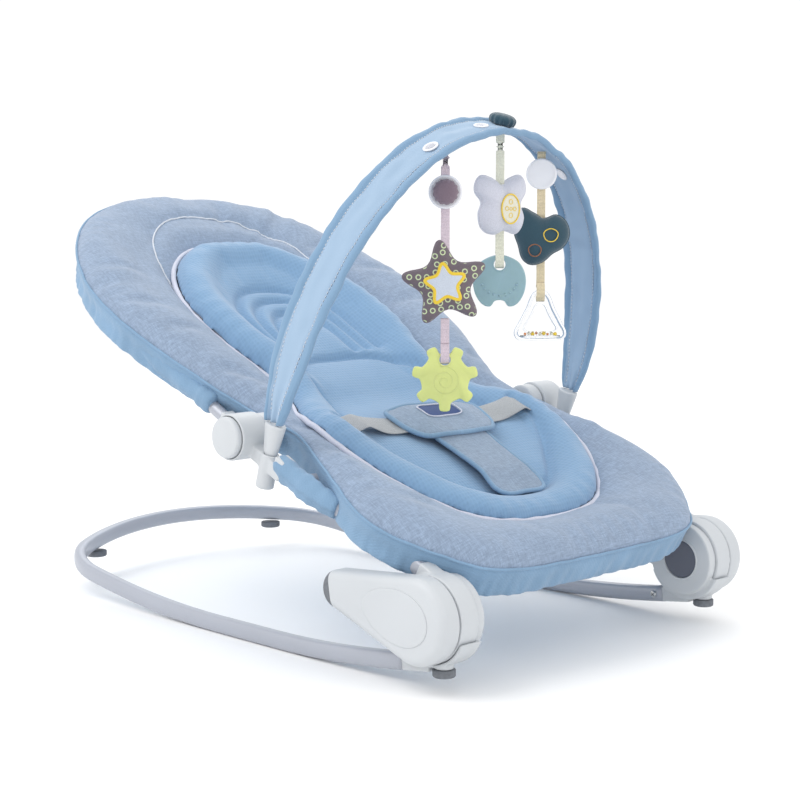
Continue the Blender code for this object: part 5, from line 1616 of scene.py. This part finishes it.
def make_gear(hole):
    """A gear-shaped teether with a hole at its top and a spiral in relief."""
    outline = []
    teeth, outer, inner = 7, 0.0375, 0.0285
    for i in range(teeth):
        base = 2 * math.pi * (i + 0.5) / teeth + math.pi / 2
        for share, radius in ((-0.36, inner * 0.985), (-0.25, inner + 0.0012), (-0.205, outer - 0.003),
                              (-0.13, outer), (0.13, outer), (0.205, outer - 0.003), (0.25, inner + 0.0012),
                              (0.36, inner * 0.985)):
            a = base + share * 2 * math.pi / teeth
            outline.append((radius * math.cos(a), radius * math.sin(a)))
    flat_teether("gear_body", toy_outline(outline, 3), hole, 0.0215, GREEN_SILICONE, "near_teether",
                 "green_silicone", "gear_teether")
    place = hanging(hole) @ Matrix.Translation((0, -0.0215 - 0.003, 0))
    for sign, word in ((1, "front"), (-1, "back")):
        line = []
        for i in range(70):
            t = i / 69
            a = t * 4.6 * math.pi
            r = 0.0020 + 0.0155 * t
            line.append(place @ Vector((r * math.cos(a), r * math.sin(a), sign * 0.0034)))
        made = sweep(f"gear_spiral_{word}", line, oval(0.0014, 0.0012, 2, 8), GREEN_SILICONE,
                     up=(place.to_3x3() @ Vector((0, 0, 1))))
        fit(made, "near_teether", "green_silicone")


def flat_teether(name, outline, hole, drop, mat, body, slot, node, thick=0.0035, hole_radius=0.0068,
                 edge=0.0016):
    """A flat teether with rounded edges and a round hole."""
    place = hanging(hole)
    reach = max(math.hypot(x, y) for x, y in outline)
    rings = []
    for inset, z in [(edge * (1 - math.sin(t)), -thick + edge * (1 - math.cos(t))) for t in
                     np.linspace(0, math.pi / 2, 5)] + \
                    [(edge * (1 - math.cos(t)), thick - edge * (1 - math.sin(t))) for t in
                     np.linspace(0, math.pi / 2, 5)]:
        share = 1 - inset / reach
        rings.append([place @ Vector((x * share, y * share - drop, z)) for x, y in outline])
    verts, faces = loft(rings)
    made = build(name, verts, faces, mat)
    cutter_rings = [oval_ring(place, hole_radius, hole_radius, z) for z in (-0.02, 0.02)]
    verts, faces = loft(cutter_rings)
    cutter = build(f"{name}_cutter", verts, faces, mat)
    cutter.hide_render = True
    change = made.modifiers.new("hole", "BOOLEAN")
    change.operation = "DIFFERENCE"
    change.object = cutter
    bpy.context.view_layer.update()
    baked(made)
    bpy.data.objects.remove(cutter, do_unlink=True)
    made.data.set_sharp_from_angle(angle=math.radians(40))
    soft = made.modifiers.new("soft_edge", "BEVEL")
    soft.width = 0.0005
    soft.segments = 2
    soft.limit_method = "ANGLE"
    soft.angle_limit = math.radians(50)
    ring_curve(f"{name}_rim", place, hole_radius + 0.0004, 0.0018, mat, body, slot, at=thick - 0.0002)
    fit(made, body, slot, node)
    return made


def make_middle_toys():
    anchor = anchor_of("middle")
    body = "middle_toy"
    angle = bar_angle(TOY_X["middle"])
    out_bar = (arch_point(angle, 1.0) - arch_point(angle)).normalized()
    gathered_pod("bar_pod_cloth", arch_point(angle, BAND_THICK / 2 + 0.0003), out_bar, 0.0172, 0.0125,
                 TEAL, "toy_bar",
                 "teal_fabric", ("middle_toy_pod",))
    strap_between("middle_upper_ribbon", anchor, 0.004, -0.060, CREAM, body)
    centre = anchor - Vector((0, 0, 0.083))
    place = hanging(centre) @ Matrix.Rotation(math.radians(34), 4, "Y")
    wings = toy_outline([(0.030, 0.034), (0.036, 0.018), (0.028, 0.002), (0.033, -0.016), (0.024, -0.032),
                         (0.006, -0.029), (-0.010, -0.033), (-0.026, -0.027), (-0.030, -0.010),
                         (-0.026, 0.004),
                         (-0.036, 0.018), (-0.030, 0.033), (-0.012, 0.031), (0.0, 0.024),
                         (0.012, 0.031)], 5)
    stuffed("butterfly_cloth", wings, 0.0150, place, LILAC, body, "grey_fabric", ("butterfly_plush",),
            2.4, seam=LILAC)
    face = place @ Matrix.Translation((0.004, -0.004, 0.0146))
    patch = [(0.0125 * math.cos(2 * math.pi * i / 32), 0.0165 * math.sin(2 * math.pi * i / 32))
             for i in range(32)]
    stuffed("butterfly_patch", patch, 0.0012, face, CREAM_PATCH, body, "grey_fabric", power=6.0, steps=5)
    ring_curve("butterfly_patch_trim", face, 0.0128, 0.0018, YELLOW, body, "grey_fabric", 1.32, at=0.0008)
    for i, (x, y, r) in enumerate(((0.0, 0.008, 0.0026), (0.0055, 0.0, 0.0022), (-0.0055, 0.0005, 0.0024),
                                   (0.0, -0.0075, 0.0026), (0.0002, 0.0, 0.0018))):
        ring_curve(f"butterfly_dot_{i}", face, r, 0.0008, YELLOW, body, "grey_fabric", centre=(x, y),
                   at=0.0014,
                   count=20)
    hole = anchor - Vector((0, 0, 0.151))
    strap_between("middle_lower_ribbon", anchor, -0.112, -0.133, CREAM, body, loop=0.0052)
    blob = toy_outline([(0.0, 0.0300), (0.0130, 0.0270), (0.0245, 0.0190), (0.0305, 0.0040),
                        (0.0290, -0.0130),
                        (0.0210, -0.0265), (0.0110, -0.0300), (0.0050, -0.0235), (-0.0050, -0.0235),
                        (-0.0110, -0.0300), (-0.0210, -0.0265), (-0.0290, -0.0130), (-0.0305, 0.0040),
                        (-0.0245, 0.0190), (-0.0130, 0.0270)], 5)
    flat_teether("round_teether_body", blob, hole, 0.019, TEAL_SILICONE, "middle_teether", "teal_silicone",
                 "round_teether", hole_radius=0.0072)
    place = hanging(hole - Vector((0, 0, 0.019)))
    for i in range(9):
        a = math.radians(200 + 17.5 * i)
        for sign in (1, -1):
            bump = lathe(f"teether_bump_{i}_{'f' if sign > 0 else 'b'}",
                         place
                         @ Vector((0.0215 * math.cos(a), 0.0190 * math.sin(a) + 0.002, sign * 0.0033)),
                         sign * (place.to_3x3() @ Vector((0, 0, 1))),
                         [(0.0017, 0.0), (0.0015, 0.0006), (0.0009, 0.0011), (1e-4, 0.0013)],
                         TEAL_SILICONE, 16)
            fit(bump, "middle_teether", "teal_silicone")


def make_far_toys():
    anchor = anchor_of("far")
    body = "far_toy"
    out = hanging(anchor).to_3x3() @ Vector((0, 0, 1))
    ring_place = hanging(anchor - Vector((0, 0, 0.0225)))
    disc = lathe("far_ring_disc", ring_place @ Vector((0, 0, 0.0009)), out,
                 [(0.0030, 0.0), (0.0165, 0.0), (0.0182, 0.0008), (0.0184, 0.0018), (0.0178, 0.0030),
                  (0.0160, 0.0034),
                  (0.0148, 0.0022), (0.0030, 0.0020)], RING_WHITE, 72)
    fit(disc, body, "white_ring", "far_toy_ring")
    strap_between("far_upper_ribbon", anchor, 0.004, -0.075, BEIGE, body)
    centre = anchor - Vector((0, 0, 0.097))
    place = hanging(centre)
    head = toy_outline([(-0.030, 0.026), (-0.022, 0.034), (-0.010, 0.029), (0.004, 0.022), (0.018, 0.026),
                        (0.030, 0.018), (0.034, 0.002), (0.027, -0.012), (0.014, -0.020), (0.002, -0.030),
                        (-0.012, -0.033), (-0.022, -0.026), (-0.027, -0.010), (-0.032, 0.006)], 5)
    stuffed("bear_cloth", head, 0.0125, place, TEAL, body, "teal_fabric", ("bear_plush",), 2.4, seam=TEAL)
    face = place @ Matrix.Translation((0, 0, 0.0124))
    ring_curve("bear_ring_yellow", face, 0.0085, 0.0013, YELLOW, body, "teal_fabric", 0.9,
               (0.011, 0.002), 0.0,
               wob=0.05)
    ring_curve("bear_ring_brown", face, 0.0075, 0.0013, BROWN, body, "teal_fabric", 0.95,
               (-0.008, -0.016), -0.0006,
               wob=0.05)
    hole = anchor - Vector((0, 0, 0.170))
    strap_between("far_lower_ribbon", anchor, -0.126, -0.152, BEIGE, body, loop=0.0052)
    make_rattle(hole)


def make_rattle(hole):
    """A clear triangular rattle: a hollow frame with a ribbed window of beads."""
    place = hanging(hole)
    outer = toy_outline([(0.0, 0.010), (0.0090, 0.0045), (0.0160, -0.012), (0.0250, -0.030),
                         (0.0315, -0.044),
                         (0.0260, -0.0515), (0.010, -0.0530), (-0.010, -0.0530), (-0.0260, -0.0515),
                         (-0.0315, -0.044), (-0.0250, -0.030), (-0.0160, -0.012), (-0.0090, 0.0045)], 5)
    up = place.to_3x3() @ Vector((0, 0, 1))
    line = [place @ Vector((x * 0.93, (y + 0.02) * 0.93 - 0.02, 0)) for x, y in outer]
    rim = sweep("rattle_rim", line, oval(0.0050, 0.0066, 2.4, 16), CLEAR, up=up, closed=True)
    fit(rim, "far_rattle", "clear_plastic", "bell_rattle")
    inner = [place @ Vector((x * 0.62, (y + 0.026) * 0.56 - 0.0265, 0)) for x, y in outer]
    window = sweep("rattle_inner_rim", inner, oval(0.0026, 0.0050, 2.4, 12), CLEAR, up=up, closed=True)
    fit(window, "far_rattle", "clear_plastic")
    for i in range(9):
        x = -0.018 + 0.0045 * i
        radius = 0.0017 + 0.0004 * (i % 3)
        bead = lathe(f"rattle_bead_{i}", place @ Vector((x, -0.0435 + 0.0008 * (i % 2), -radius)), up,
                     [(radius * math.sin(math.pi * k / 10) + 1e-5,
                       radius * (1 - math.cos(math.pi * k / 10)))
                      for k in range(11)], (BEADS, CREAM_PATCH, YELLOW)[i % 3], 20)
        store_flat(bead)
        fit(bead, "far_rattle", "clear_plastic")
    bar = sweep("rattle_bead_tray",
                [place @ Vector((x, -0.0462, 0)) for x in (-0.024, -0.012, 0.0, 0.012, 0.024)],
                oval(0.0022, 0.0060, 2.4, 12), CLEAR, up=up)
    fit(bar, "far_rattle", "clear_plastic")


# ---------------------------------------------------------------- camera, lights and floor


def make_stage():
    scene.view_settings.view_transform = "Standard"
    camera = bpy.data.objects.new("camera", bpy.data.cameras.new("camera"))
    camera.data.lens = 77.2
    camera.data.sensor_width = 36.0
    camera.location = (-1.480, -1.561, 0.496)
    azimuth, pitch = math.radians(44.84), math.radians(-6.28)
    ahead = Vector((math.sin(azimuth) * math.cos(pitch), math.cos(azimuth) * math.cos(pitch),
                    math.sin(pitch)))
    camera.rotation_mode = "QUATERNION"
    camera.rotation_quaternion = ahead.to_track_quat("-Z", "Y")
    scene.collection.objects.link(camera)
    scene.camera = camera

    s = Shader("studio_floor", rough=0.6, spec=0.3)
    s.link(s.ramp(s.noise(s.place(), 1.5, 2.0),
                  ((0.3, (0.955, 0.955, 0.957)), (0.7, (0.965, 0.965, 0.967)))), "Base Color")
    reach, steps = 40.0, 8
    rows = [[Vector((reach * (2 * i / steps - 1), reach * (2 * k / steps - 1), 0))
             for i in range(steps + 1)]
            for k in range(steps + 1)]
    verts, faces = loft(rows, closed_ring=False)
    floor = build("studio_floor", verts, faces, s.material)

    world = bpy.data.worlds.new("studio")
    world.use_nodes = True
    world.node_tree.nodes["Background"].inputs["Color"].default_value = (1, 1, 1, 1)
    world.node_tree.nodes["Background"].inputs["Strength"].default_value = 1.06
    scene.world = world
    for name, place, power, size, colour in (
            ("key", (-2.0, 0.6, 2.6), 34.0, 1.8, (1.0, 0.99, 0.98)),
            ("fill", (0.9, -2.6, 1.5), 7.0, 2.4, (0.98, 0.99, 1.0)),
            ("rim", (1.6, 1.6, 2.4), 16.0, 2.0, (1.0, 1.0, 1.0))):
        light = bpy.data.lights.new(name, "AREA")
        light.energy, light.size, light.color = power, size, colour
        lamp = bpy.data.objects.new(name, light)
        lamp.location = place
        lamp.rotation_mode = "QUATERNION"
        lamp.rotation_quaternion = (Vector((0, 0, 0.2)) - Vector(place)).to_track_quat("-Z", "Y")
        scene.collection.objects.link(lamp)


make_stage()
make_cover()
make_reducer()
make_harness()
make_mouldings()
make_rail()
make_seat_tubes()
make_back_tube()
make_sleeves()
for leg_side, leg_word in ((1, "right"), (-1, "left")):
    make_leg(leg_side, leg_word)
make_round_parts()
make_band()
make_near_toys()
make_middle_toys()
make_far_toys()
keep_cad()
